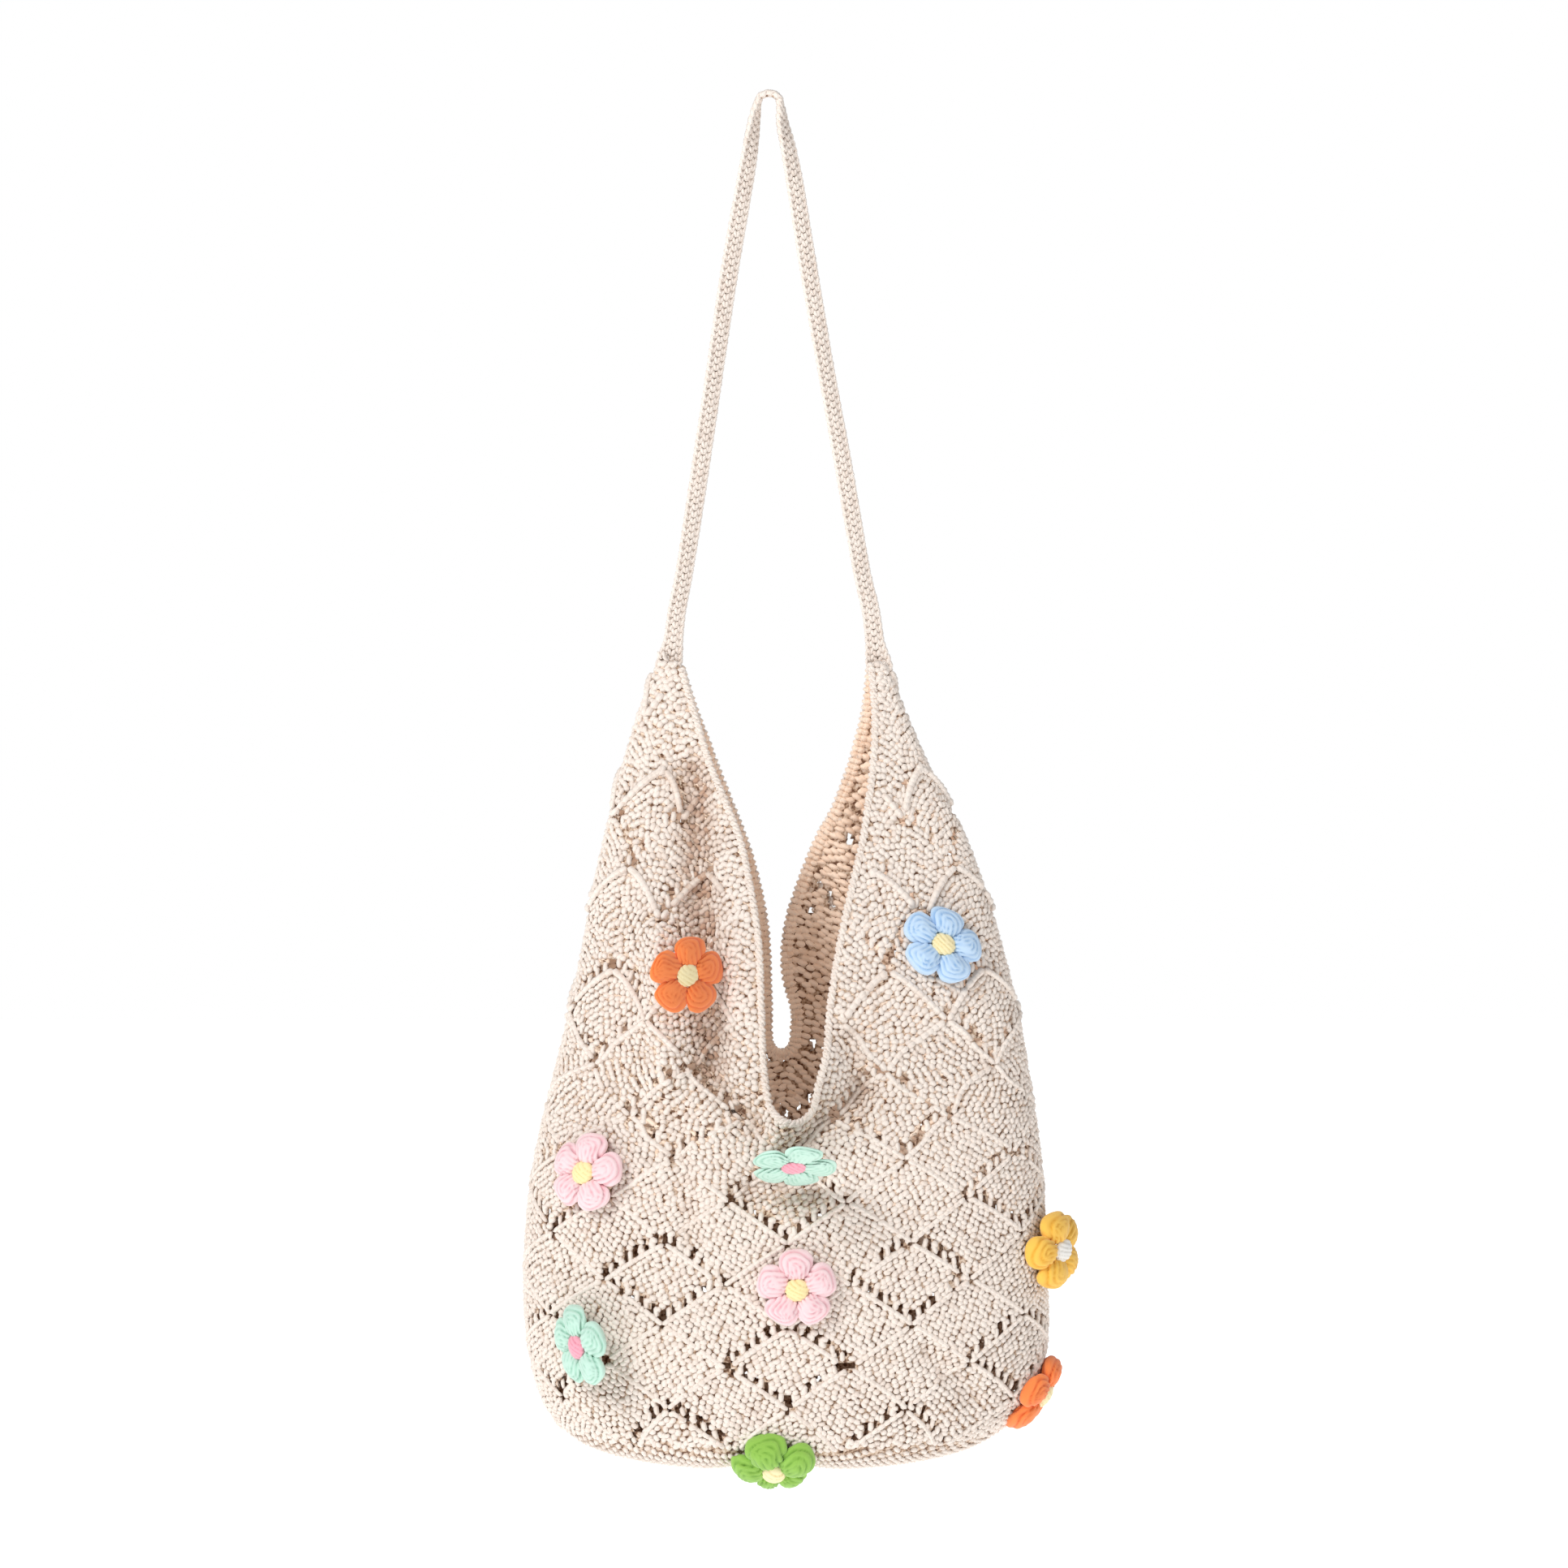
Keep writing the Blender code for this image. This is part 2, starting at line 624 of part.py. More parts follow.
def lay(form, wall, flower):
    """Lays a form of the flower on the wall around its seat, tipped by nod and turn.
    Gives the wall's normals under its points."""
    station, around = flower_seat(wall, flower)
    girth = float(np.interp(station, wall.stations, wall.girth))
    step = 0.01
    rise = wall.point(station + step, around)[0] - wall.point(station - step, around)[0]
    nod, turn, spin = (math.radians(flower[k]) for k in ("nod", "turn", "spin"))
    local = np.array([vert.co[:] for vert in form.verts])
    x = local[:, 0] * math.cos(spin) - local[:, 1] * math.sin(spin)
    y = local[:, 0] * math.sin(spin) + local[:, 1] * math.cos(spin)
    point, normal = wall.point(
        station + y * math.cos(nod) * 2 * step / np.linalg.norm(rise),
        around + x * math.cos(turn) / girth,
    )
    height = local[:, 2] + math.tan(nod) * y - math.tan(turn) * x
    for vert, place in zip(form.verts, point + normal * height[:, None]):
        vert.co = place
    return normal


def lift(form, normals, by):
    """Moves a form's points along their normals."""
    for vert, normal in zip(form.verts, normals):
        vert.co += Vector(normal) * by


def petal_dome():
    """Five puffed petals around a dimple, as one flat-backed form."""
    bm = bmesh.new()
    line = []
    for radius, height, _ in PETAL_PROFILE:
        line.append(bm.verts.new((radius * FLOWER_RADIUS, 0, height * PETAL_HEIGHT)))
    edges = [bm.edges.new(pair) for pair in zip(line, line[1:])]
    bmesh.ops.spin(
        bm,
        geom=line + edges,
        axis=(0, 0, 1),
        cent=(0, 0, 0),
        angle=2 * math.pi,
        steps=PETALS * SIDES_PER_PETAL,
        use_merge=True,
    )
    bmesh.ops.remove_doubles(bm, verts=bm.verts, dist=1e-6)
    radii = column(PETAL_PROFILE, PETAL_PROFILE_COLUMNS, "radius") * FLOWER_RADIUS
    lobing = column(PETAL_PROFILE, PETAL_PROFILE_COLUMNS, "lobing")
    for vert in bm.verts:
        radius = math.hypot(vert.co.x, vert.co.y)
        if radius < 1e-6:
            continue
        wave = abs(math.sin(PETALS / 2 * math.atan2(vert.co.y, vert.co.x)))
        share = lobing[int(np.argmin(np.abs(radii - radius)))]
        pinch = 1 - share * PETAL_CLEFT * wave**4
        vert.co.x *= pinch
        vert.co.y *= pinch
        if vert.co.z > 0.6 * PETAL_HEIGHT:
            vert.co.z *= 1 - 0.35 * share * wave
    return bm


def button_dome():
    """The flower's button, a flattened ball that sits in the dimple."""
    bm = bmesh.new()
    bmesh.ops.create_uvsphere(bm, u_segments=8, v_segments=5, radius=1)
    floor = PETAL_PROFILE[-2][1] * PETAL_HEIGHT + PIECE_GAP
    for vert in bm.verts:
        vert.co.x *= BUTTON_RADIUS
        vert.co.y *= BUTTON_RADIUS
        vert.co.z = floor + (vert.co.z + 1) * BUTTON_HEIGHT / 2
    return bm


def solid_tree(obj):
    """A search tree of an object's evaluated surface."""
    graph = bpy.context.evaluated_depsgraph_get()
    bm = bmesh.new()
    bm.from_mesh(obj.evaluated_get(graph).to_mesh())
    bm.transform(obj.matrix_world)
    tree = BVHTree.FromBMesh(bm)
    bm.free()
    return tree


def make_flower(wall, flower, obstacles, parts):
    """A flower's petals and button, laid on the unfolded wall and raised until they clear
    the folds and edgings."""
    petals, button = petal_dome(), button_dome()
    under_petals, under_button = lay(petals, wall, flower), lay(button, wall, flower)
    raised = -FLOWER_RADIUS / 2
    lift(petals, under_petals, raised)
    while any(BVHTree.FromBMesh(petals).overlap(tree) for tree in obstacles):
        lift(petals, under_petals, SEAT_STEP)
        raised += SEAT_STEP
    lift(petals, under_petals, PIECE_GAP)
    lift(button, under_button, raised + PIECE_GAP)
    name = flower["name"] + "_flower"
    new_object(f"{name}_petals", mesh_from(petals, f"{name}_petals"), flower["petals"], parts)
    new_object(f"{name}_button", mesh_from(button, f"{name}_button"), flower["button"], parts)


def new_collection(name):
    """A collection of the scene."""
    made = bpy.data.collections.new(name)
    bpy.context.scene.collection.children.link(made)
    return made


def main():
    for obj in list(bpy.data.objects):
        bpy.data.objects.remove(obj)
    parts = new_collection("crochet_bag")
    cutters = new_collection("cutters")
    wall = Wall()
    sheet, rims = body_sheet(wall)
    body = make_body(wall, sheet, parts, cutters)
    bpy.context.view_layer.update()
    wall_tree = solid_tree(body)
    front = make_edging("front_neck_edging", rims["front"], wall_tree, parts)
    back = make_edging("back_neck_edging", rims["back"], wall_tree, parts)
    make_strap(wall, parts)
    obstacles = [wall_tree, solid_tree(front), solid_tree(back)]
    unfolded = Wall(folds=False)
    for flower in flower_rows():
        make_flower(unfolded, flower, obstacles, parts)


main()
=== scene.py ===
"""Looks of the crochet shoulder bag: knitted wall, edgings, strap and puff flowers."""

import math

import bmesh
import bpy
import numpy as np
from mathutils import Matrix, Vector


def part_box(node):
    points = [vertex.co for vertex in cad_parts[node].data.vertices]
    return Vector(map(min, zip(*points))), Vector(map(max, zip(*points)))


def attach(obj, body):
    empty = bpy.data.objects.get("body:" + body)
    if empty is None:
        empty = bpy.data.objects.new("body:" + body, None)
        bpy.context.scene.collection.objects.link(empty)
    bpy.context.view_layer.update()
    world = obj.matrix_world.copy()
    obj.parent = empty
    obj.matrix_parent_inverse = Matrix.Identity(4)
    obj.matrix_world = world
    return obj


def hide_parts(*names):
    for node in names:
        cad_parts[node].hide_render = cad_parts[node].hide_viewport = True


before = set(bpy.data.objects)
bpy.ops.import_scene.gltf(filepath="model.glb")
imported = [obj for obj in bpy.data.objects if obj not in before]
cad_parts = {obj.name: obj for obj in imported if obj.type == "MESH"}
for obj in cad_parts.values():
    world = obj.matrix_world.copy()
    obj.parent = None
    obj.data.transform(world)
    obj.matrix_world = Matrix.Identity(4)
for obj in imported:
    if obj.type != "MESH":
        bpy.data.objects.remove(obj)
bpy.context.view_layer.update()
rng = np.random.default_rng(7)


def table(names, *rows):
    """Columns of numbers by name. The others are read against the first one."""
    return dict(zip(names.split(), np.array(rows, float).T))


def listed(names, *rows):
    """Rows of values by name."""
    return [dict(zip(names.split(), row)) for row in rows]


# Sizes of the solid model, repeated here so that each piece lies on it
BODY_WIDTH = 0.348
BODY_DEPTH = 0.150
BODY_HEIGHT = 0.521
SIDE_ROUNDING = 0.014
STRAP_DROP = 0.3675
STRAP_THICKNESS = 0.005
POINT_SPACING = 0.136
NECK_ROUNDING = 0.014
FLOWER_RADIUS = 0.0265
BUTTON_RADIUS = 0.0068
BUTTON_HEIGHT = 0.0075
BUTTON_FLOOR = 0.0051
TILES_AROUND = 10
TILE_SHIFT = 0.034
SURFACE_STATIONS = 321
SURFACE_SAMPLES = 721

PROFILE = table(
    "station height width depth shift",
    (0.0, 0.0, 0.0, 0.0, 0.022),
    (0.05, 0.0, 0.33, 0.34, 0.022),
    (0.09, 0.004, 0.6, 0.6, 0.022),
    (0.12, 0.018, 0.78, 0.79, 0.023),
    (0.15, 0.044, 0.9, 0.89, 0.029),
    (0.185, 0.084, 0.97, 0.96, 0.034),
    (0.22, 0.124, 0.994, 0.99, 0.034),
    (0.31, 0.226, 1.0, 1.0, 0.03),
    (0.45, 0.386, 0.958, 0.95, 0.036),
    (0.52, 0.466, 0.91, 0.87, 0.041),
    (0.59, 0.546, 0.86, 0.77, 0.046),
    (0.66, 0.626, 0.805, 0.66, 0.044),
    (0.74, 0.716, 0.74, 0.54, 0.037),
    (0.805, 0.79, 0.672, 0.43, 0.028),
    (0.87, 0.863, 0.586, 0.31, 0.013),
    (0.925, 0.925, 0.517, 0.22, 0.006),
    (1.0, 1.0, 0.43, 0.13, 0.005),
)

FRONT_NECK_HEIGHT = 0.433
FRONT_NECK_SHIFT = 0.089
FRONT_NECK = table(
    "rise left right",
    (0.0, 0.085, 0.075),
    (0.095, 0.113, 0.109),
    (0.147, 0.121, 0.131),
    (0.25, 0.127, 0.146),
    (0.423, 0.143, 0.195),
    (0.526, 0.173, 0.235),
    (0.61, 0.204, 0.269),
    (0.68, 0.25, 0.288),
    (0.775, 0.318, 0.309),
    (0.891, 0.38, 0.318),
    (1.0, 0.434, 0.302),
)
BACK_NECK_HEIGHT = 0.473
BACK_NECK_SHIFT = 0.046
BACK_NECK = table(
    "rise left right",
    (0.0, 0.07, 0.07),
    (0.06, 0.076, 0.072),
    (0.115, 0.076, 0.078),
    (0.222, 0.08, 0.04),
    (0.282, 0.083, 0.038),
    (0.365, 0.095, 0.058),
    (0.445, 0.12, 0.098),
    (0.54, 0.16, 0.154),
    (0.652, 0.225, 0.236),
    (0.763, 0.29, 0.3),
    (0.86, 0.34, 0.332),
    (1.0, 0.395, 0.345),
)

FOLDS = listed(
    "side x_from height_from x_to height_to spread rise",
    (-1, -0.29, 0.86, -0.23, 0.521, 0.038, -0.088),
    (-1, -0.23, 0.5, -0.05, 0.432, 0.026, -0.06),
    (-1, -0.4, 0.66, -0.39, 0.49, 0.036, 0.07),
    (-1, 0.19, 0.516, 0.06, 0.44, 0.034, 0.08),
    (-1, 0.36, 0.478, 0.06, 0.395, 0.026, -0.07),
    (-1, -0.08, 0.352, 0.16, 0.352, 0.034, -0.085),
    (-1, 0.31, 0.54, 0.35, 0.44, 0.026, -0.035),
    (-1, -0.347, 0.437, -0.3, 0.289, 0.024, -0.035),
    (-1, 0.59, 0.143, 0.775, 0.083, 0.022, -0.03),
    (1, 0.3, 0.8, 0.36, 0.45, 0.04, -0.06),
    (1, -0.42, 0.64, -0.25, 0.36, 0.036, -0.04),
    (1, -0.1, 0.3, 0.15, 0.16, 0.04, -0.03),
)

STRAP_ROUTE = table(
    "x height turn",
    (-0.468, -0.975, 8),
    (-0.445, -0.91, 18),
    (-0.407, -0.837, 24),
    (-0.333, -0.662, 20),
    (-0.262, -0.488, 26),
    (-0.191, -0.313, 22),
    (-0.108, -0.138, 30),
    (-0.073, -0.051, 62),
    (-0.062, -0.026, 80),
    (-0.042, -0.006, 90),
    (0.0, 0.0, 90),
    (0.04, -0.006, 90),
    (0.056, -0.026, 104),
    (0.064, -0.051, 120),
    (0.114, -0.138, 150),
    (0.191, -0.313, 158),
    (0.274, -0.488, 152),
    (0.36, -0.662, 160),
    (0.443, -0.837, 156),
    (0.488, -0.91, 164),
    (0.512, -0.975, 172),
)

# Rows of tiles, as row numbers of half a tile against height
TILE_ROWS = table(
    "row height",
    (-3.0, -0.08),
    (-1.0, 0.025),
    (1.0, 0.129),
    (3.0, 0.235),
    (5.0, 0.34),
    (7.0, 0.442),
    (9.0, 0.56),
    (11.0, 0.685),
    (13.0, 0.81),
    (16.0, 1.0),
    (17.0, 1.063),
)
BOTTOM_ROW = -0.9

# How far the tiles' edges are bowed up between their corners, in rows
ARCHES = table(
    "row bow",
    (-1.0, 0.10),
    (6.0, 0.15),
    (9.0, 0.45),
    (11.0, 0.70),
    (17.0, 0.70),
)

FLOWERS = listed(
    "name x height spin nod turn petals button",
    ("blue", 0.700, 0.651, -6, 0, 0, "blue", "cream"),
    ("orange_upper", -0.451, 0.614, 20, 0, 46, "orange", "cream"),
    ("pink_left", -0.766, 0.367, 12, 0, -6, "pink", "pale_yellow"),
    ("mint_upper", 0.018, 0.386, 0, 54, 0, "mint", "rose"),
    ("pink_middle", 0.042, 0.232, 20, 0, 0, "pink", "pale_yellow"),
    ("yellow", 0.985, 0.253, 30, 0, -14, "yellow", "white"),
    ("mint_lower", -0.742, 0.154, 26, 0, -26, "mint", "rose"),
    ("orange_lower", 0.992, 0.070, 14, 0, 0, "orange", "cream"),
    ("green", -0.040, 0.009, 32, -18, 0, "green", "cream"),
)
PETALS = 5

# Yarns: lit colour, painted shade colour for folds and grooves, and for the wall a darker
# painted shade colour deep in its creases
YARNS = {
    "cotton": ("#F3E7DD", "#E1CEC0", "#C4A189"),
    "blue": ("#C3DBF3", "#88B3E0"),
    "orange": ("#FB8A48", "#E8642A"),
    "pink": ("#F8D8DB", "#EDACB6"),
    "mint": ("#C4E6D6", "#93C9B0"),
    "yellow": ("#FAC655", "#E9A52C"),
    "green": ("#90C04F", "#679A2D"),
    "cream": ("#F8E9B9", "#E2CB88"),
    "pale_yellow": ("#FBE8AE", "#E9CB7E"),
    "rose": ("#F5A7B8", "#DE7C92"),
    "white": ("#F7F4EF", "#DAD5CC"),
}

# Matt, slightly fuzzy yarn, as values of the shader
FUZZY = {
    "Roughness": 0.92,
    "Specular IOR Level": 0.2,
    "Sheen Weight": 0.25,
    "Sheen Roughness": 0.6,
}

# How the loose cloth sags at the bottom: the most, the height over which it fades, and
# the share of it that the lowest flower holds up
BOTTOM_SAG = 0.012
SAG_REACH = 0.065
SAG_HELD = 0.8

# Knitting, in metres. Stagger and jitter are shares of a stitch, leans are in radians,
# and a scale above 1 makes stitches larger and fewer
STITCH_PITCH = 0.0045
ROW_PITCH = 0.0038
STAGGER = 0.24
JITTER = 0.18
LEAN = 0.38
LEAN_SPREAD = 0.24
BACK_SCALE = 1.2
INNER_SCALE = 1.28
TOP_ROW = 16
BOTTOM_PITCH = 0.0048
BOTTOM_ROW_PITCH = 0.0046
RIDGE_LOOPS = 11
CLOTH_SINK = 0.0008
CLOTH_THICKNESS = 0.0012

# Half length, half width and half height of each kind of loop of yarn
STITCH_HALF = (0.0028, 0.0020, 0.0013)
THREAD_HALF = (0.0040, 0.0018, 0.0014)
TUFT_HALF = (0.0034, 0.0011, 0.0014)
RIDGE_HALF = (0.0037, 0.0017, 0.0016)
RIB_HALF = (0.0041, 0.0021, 0.0015)
EDGING_HALF = (0.0023, 0.0012, 0.0015)
STRAP_LEG_HALF = (0.0029, 0.00135, 0.0012)
STRAP_SIDE_HALF = (0.0029, 0.0019, 0.0011)

# Where the tuft of loose ends stands, at the left point
TUFT_PLACE = (-0.0705, -0.003, -0.3625)

# Plain bands along the front V, left and right, and along the back one
LEFT_BAND = 0.018
RIGHT_BAND = 0.009
BACK_BAND = 0.006

# Eyelets: least and most half width and half height at the tiles' corners and along their
# edges, half sizes of the two that a crossing thread leaves and their way off the middle,
# the shares of the body's height between which there are any, and more than any reaches
EYELETS_ON_EDGE = 6
CORNER_EYELET = ((0.0018, 0.0026), (0.003, 0.0042))
EDGE_EYELET = ((0.0012, 0.0017), (0.0031, 0.0042))
CROSSED_EYELET = (0.0013, 0.0016)
CROSSED_SHIFT = 0.0027
EYELET_HEIGHTS = (0.03, 0.86)
EYELET_REACH = 0.012

# Painted shade in the wall's folds: its strength between these two heights, and the depth
# of fold at which it is full
PAINTED_SHADE_HEIGHTS = (0.40, 0.52)
PAINTED_SHADE_STRENGTHS = (0.35, 1.0)
DEEP_FOLD = 0.012

# Edging of each V: how far out its cords lie, and how coarse, lengthwise and staggered
# their loops are
EDGING_PITCH = 0.0042
EDGING_ANGLES = (-135, -85, -35, 15, 65, 115)
EDGINGS = {
    "front": ((0.0012,), 1.0, 0.8, 0.0021),
    "back": ((0.0012, 0.0042), 1.3, 0.15, 0.0),
}
CORD_SINK = 0.0012
CORD_RADIUS = 0.0016

# Strap: columns of V stitches, their two legs, the plain row at each side and the core
STRAP_PITCH = 0.0046
COLUMN_SPACING = 0.0035
LEG_SHIFT = 0.0009
SIDE_SHIFT = 0.0053
STRAP_CORE = (0.0105, 0.0016)

# A petal: its middle and half length as shares of the flower's radius, half width, half
# height, height of its middle, droop of its tip, and loops of yarn from middle to rim
PETAL_MIDDLE = 0.59
PETAL_REACH = 0.385
PETAL_HALF = (0.0112, 0.0068)
PETAL_LIFT = 0.0063
PETAL_DROOP = 0.0020
PETAL_LOOPS = 3.5

# Lamps: name, place, size and power
LAMPS = (
    ("key_lamp", (-1.8, -2.1, 1.5), 1.2, 68),
    ("fill_lamp", (2.2, -1.8, 0.3), 2.4, 8),
)
CAMERA_PLACE = (0.0096, -2.586, -0.1755)
CAMERA_TARGET = (0.0096, 0, -0.4473)
FOCAL_LENGTH = 90.5


def eased(columns, name, at):
    """The smooth curve through one column of a table, read at places in its first column."""
    x, y = next(iter(columns.values())), columns[name]
    slope = np.gradient(y, x)
    at = np.clip(at, x[0], x[-1])
    i = np.clip(np.searchsorted(x, at) - 1, 0, len(x) - 2)
    step = x[i + 1] - x[i]
    t = (at - x[i]) / step
    start = (1 + 2 * t) * (1 - t) ** 2 * y[i] + t * (1 - t) ** 2 * step * slope[i]
    end = t * t * (3 - 2 * t) * y[i + 1] + t * t * (t - 1) * step * slope[i + 1]
    return start + end


def straight(columns, name, at):
    """Straight lines through one column of a table, read in the same way."""
    return np.interp(at, next(iter(columns.values())), columns[name])


def section(name, station):
    """One column of the table of the body's sections, at a station."""
    return eased(PROFILE, name, station)


def unit(vectors):
    """Vectors at length one."""
    return vectors / np.maximum(np.linalg.norm(vectors, axis=-1, keepdims=True), 1e-12)


def world_height(share):
    """Height in the part's frame of a share of the body's height."""
    return (share - 1) * BODY_HEIGHT - STRAP_DROP


def plain_wall(station, around):
    """Points on the body before its folds."""
    station, around = np.broadcast_arrays(station, around)
    width = section("width", station) * BODY_WIDTH / 2
    depth = section("depth", station) * BODY_DEPTH / 2
    shift = section("shift", station) * BODY_WIDTH
    angle = 2 * math.pi * around
    rounding = depth * SIDE_ROUNDING / (depth + SIDE_ROUNDING)
    core_width, core_depth = width - rounding, depth - rounding
    out_x, out_y = core_depth * np.sin(angle), core_width * np.cos(angle)
    reach = rounding / np.maximum(np.hypot(out_x, out_y), 1e-12)
    x = shift - core_width * np.sin(angle) - reach * out_x
    y = core_depth * np.cos(angle) + reach * out_y
    return np.stack([x, y, world_height(section("height", station))], axis=-1)


def normals_of(points):
    """Outward normals of a grid of wall points, stations by samples around."""
    along = np.gradient(points, axis=0)
    around = np.empty_like(points)
    around[:, 1:-1] = points[:, 2:] - points[:, :-2]
    around[:, 0] = around[:, -1] = points[:, 1] - points[:, -2]
    return unit(np.cross(around, along))


def fold_rise(points, normals):
    """How far the folds move each wall point out, in metres."""
    total = np.zeros(points.shape[:-1])
    for fold in FOLDS:
        start = np.array([fold["x_from"] * BODY_WIDTH / 2, world_height(fold["height_from"])])
        end = np.array([fold["x_to"] * BODY_WIDTH / 2, world_height(fold["height_to"])])
        flat = points[..., [0, 2]] - start
        run = end - start
        along = np.clip(flat @ run / (run @ run), 0, 1)
        away = np.linalg.norm(flat - along[..., None] * run, axis=-1)
        # A fold fades out where the wall turns away from its side
        facing = np.clip(normals[..., 1] * fold["side"] * 2, 0, 1)
        rise = fold["rise"] * BODY_DEPTH * np.exp(-((away / (fold["spread"] * BODY_WIDTH)) ** 2))
        total += rise * facing
    return total


def hung(points, held):
    """Wall points lowered where the loose knit of the bottom sags, less where a flower
    sewn at held keeps it up."""
    lift = points[..., 2] - world_height(0)
    away = np.linalg.norm(points[..., :2] - held[:2], axis=-1)
    drop = BOTTOM_SAG * np.clip(1 - lift / SAG_REACH, 0, 1) ** 2
    moved = points.copy()
    moved[..., 2] -= drop * (1 - SAG_HELD * np.exp(-((away / FLOWER_RADIUS) ** 2)))
    return moved


def neck_opening(neck, low_height, shift, height):
    """Left and right edge of a V at a height, in metres from the bag's middle."""
    middle = shift * BODY_WIDTH / 2
    rise = (height - low_height) / (1 - low_height)
    if rise <= 0:
        return middle, middle
    above = min(rise * (1 - low_height) * BODY_HEIGHT / NECK_ROUNDING, 1)
    rounding = math.sqrt(1 - (1 - above) ** 2)
    left = eased(neck, "left", rise) * BODY_WIDTH / 2
    right = eased(neck, "right", rise) * BODY_WIDTH / 2
    return middle - rounding * left, middle + rounding * right


class Wall:
    """The outer face of the body, sampled evenly around each section, plain, or with
    its folds and the sag of the bottom around the flower sewn at held."""

    def __init__(self, held=None):
        stations = np.linspace(0, 1, SURFACE_STATIONS)[:, None]
        turn = np.linspace(0, 1, SURFACE_SAMPLES)[None, :]
        loose = plain_wall(stations, turn)
        rise = np.zeros(loose.shape[:-1])
        if held is not None:
            normals = normals_of(loose)
            rise = fold_rise(loose, normals)
            loose = hung(loose + normals * rise[..., None], held)
        self.stations = stations[:, 0]
        self.evenly = np.linspace(0, 1, SURFACE_SAMPLES)
        self.points = np.empty_like(loose)
        self.rise = np.empty((*rise.shape, 1))
        self.girth = np.empty(SURFACE_STATIONS)
        for i, ring in enumerate(loose):
            steps = np.linalg.norm(np.diff(ring, axis=0), axis=1)
            length = np.concatenate([[0], np.cumsum(steps)])
            self.girth[i] = length[-1]
            share = length / length[-1] if length[-1] > 1e-9 else self.evenly
            for axis in range(3):
                self.points[i, :, axis] = np.interp(self.evenly, share, ring[:, axis])
            self.rise[i, :, 0] = np.interp(self.evenly, share, rise[i])
        self.normals = normals_of(self.points)
        self.normals[0] = (0, 0, -1)
        self.heights = section("height", self.stations)
        self.rising = np.maximum.accumulate(self.heights + 1e-6 * self.stations)
        self.edges = np.array([self.edges_at(height) for height in self.heights]).T
        middle = TILE_SHIFT * BODY_WIDTH
        self.middle = np.array([self.around_at(s, middle) for s in self.stations])

    def read(self, grid, station, around):
        """A grid's value between its samples."""
        row = np.clip(station, 0, 1) * (SURFACE_STATIONS - 1)
        col = np.mod(around, 1) * (SURFACE_SAMPLES - 1)
        i = np.minimum(row.astype(int), SURFACE_STATIONS - 2)
        j = np.minimum(col.astype(int), SURFACE_SAMPLES - 2)
        a = (row - i)[..., None]
        b = (col - j)[..., None]
        low = grid[i, j] * (1 - b) + grid[i, j + 1] * b
        high = grid[i + 1, j] * (1 - b) + grid[i + 1, j + 1] * b
        return low * (1 - a) + high * a

    def point(self, station, around):
        """The point of the wall there, and the outward normal."""
        station, around = np.broadcast_arrays(
            np.asarray(station, float), np.asarray(around, float)
        )
        normal = unit(self.read(self.normals, station, around))
        return self.read(self.points, station, around), normal

    def station_at(self, height):
        """Station of a share of the body's height."""
        return np.interp(height, self.rising, self.stations)

    def height_at(self, station):
        """Share of the body's height of a station."""
        return np.interp(station, self.stations, self.heights)

    def girth_at(self, station):
        """Length around the wall at a station."""
        return np.interp(station, self.stations, self.girth)

    def around_at(self, station, x, back=False):
        """Share of the way around where a section of the wall reaches x."""
        quarter = (SURFACE_SAMPLES - 1) // 4
        turns = self.evenly
        line = self.read(self.points, np.full(SURFACE_SAMPLES, station), turns)[:, 0]
        if back:
            ring = np.concatenate([line[3 * quarter : -1], line[: quarter + 1]])
            turn = np.concatenate([turns[3 * quarter : -1] - 1, turns[: quarter + 1]])
            return float(np.interp(-x, -ring, turn))
        front = slice(quarter, 3 * quarter + 1)
        return float(np.interp(x, line[front], turns[front]))

    def edges_at(self, height):
        """Back and front edge of the left half, front and back edge of the right half."""
        station = float(self.station_at(height))
        front = neck_opening(FRONT_NECK, FRONT_NECK_HEIGHT, FRONT_NECK_SHIFT, height)
        back = neck_opening(BACK_NECK, BACK_NECK_HEIGHT, BACK_NECK_SHIFT, height)
        return (
            self.around_at(station, back[0], back=True),
            self.around_at(station, front[0]),
            self.around_at(station, front[1]),
            self.around_at(station, back[1], back=True) + 1,
        )

    def span(self, half, station):
        """Where the left or right half starts and ends around the wall at a station."""
        start, end = self.edges[2 * half : 2 * half + 2]
        return np.interp(station, self.stations, start), np.interp(station, self.stations, end)

    def room(self, station, around):
        """Distance in metres from the nearest rim of a V, below zero in the opening."""
        around = np.mod(around, 1)
        room = np.full(around.shape, -1.0)
        for half in (0, 1):
            start, end = self.span(half, station)
            for lap in (-1, 0, 1):
                inside = np.minimum(around + lap - start, end - around - lap)
                room = np.maximum(room, inside)
        room = room * self.girth_at(station)
        low = np.where(np.abs(around - 0.5) < 0.25, FRONT_NECK_HEIGHT, BACK_NECK_HEIGHT)
        below = (low - self.height_at(station)) * BODY_HEIGHT
        return np.where(below > 0, np.maximum(below, room), room)

    def tile_place(self, row, turn):
        """Station and share of the way around of a place among the tiles."""
        share = np.mod(turn * 2 * TILES_AROUND, 1)
        bow = straight(ARCHES, "bow", row)
        height = straight(TILE_ROWS, "height", row + bow * share * (1 - share))
        station = self.station_at(np.maximum(height, 0))
        return station, np.interp(station, self.stations, self.middle) + turn


UNFOLDED = Wall()


def flower_seat(flower):
    """Station and share of the way around where a flower is sewn on."""
    station = float(UNFOLDED.station_at(flower["height"]))
    half = float(section("width", station)) * BODY_WIDTH / 2
    shift = float(section("shift", station)) * BODY_WIDTH
    return station, UNFOLDED.around_at(station, shift + flower["x"] * half)


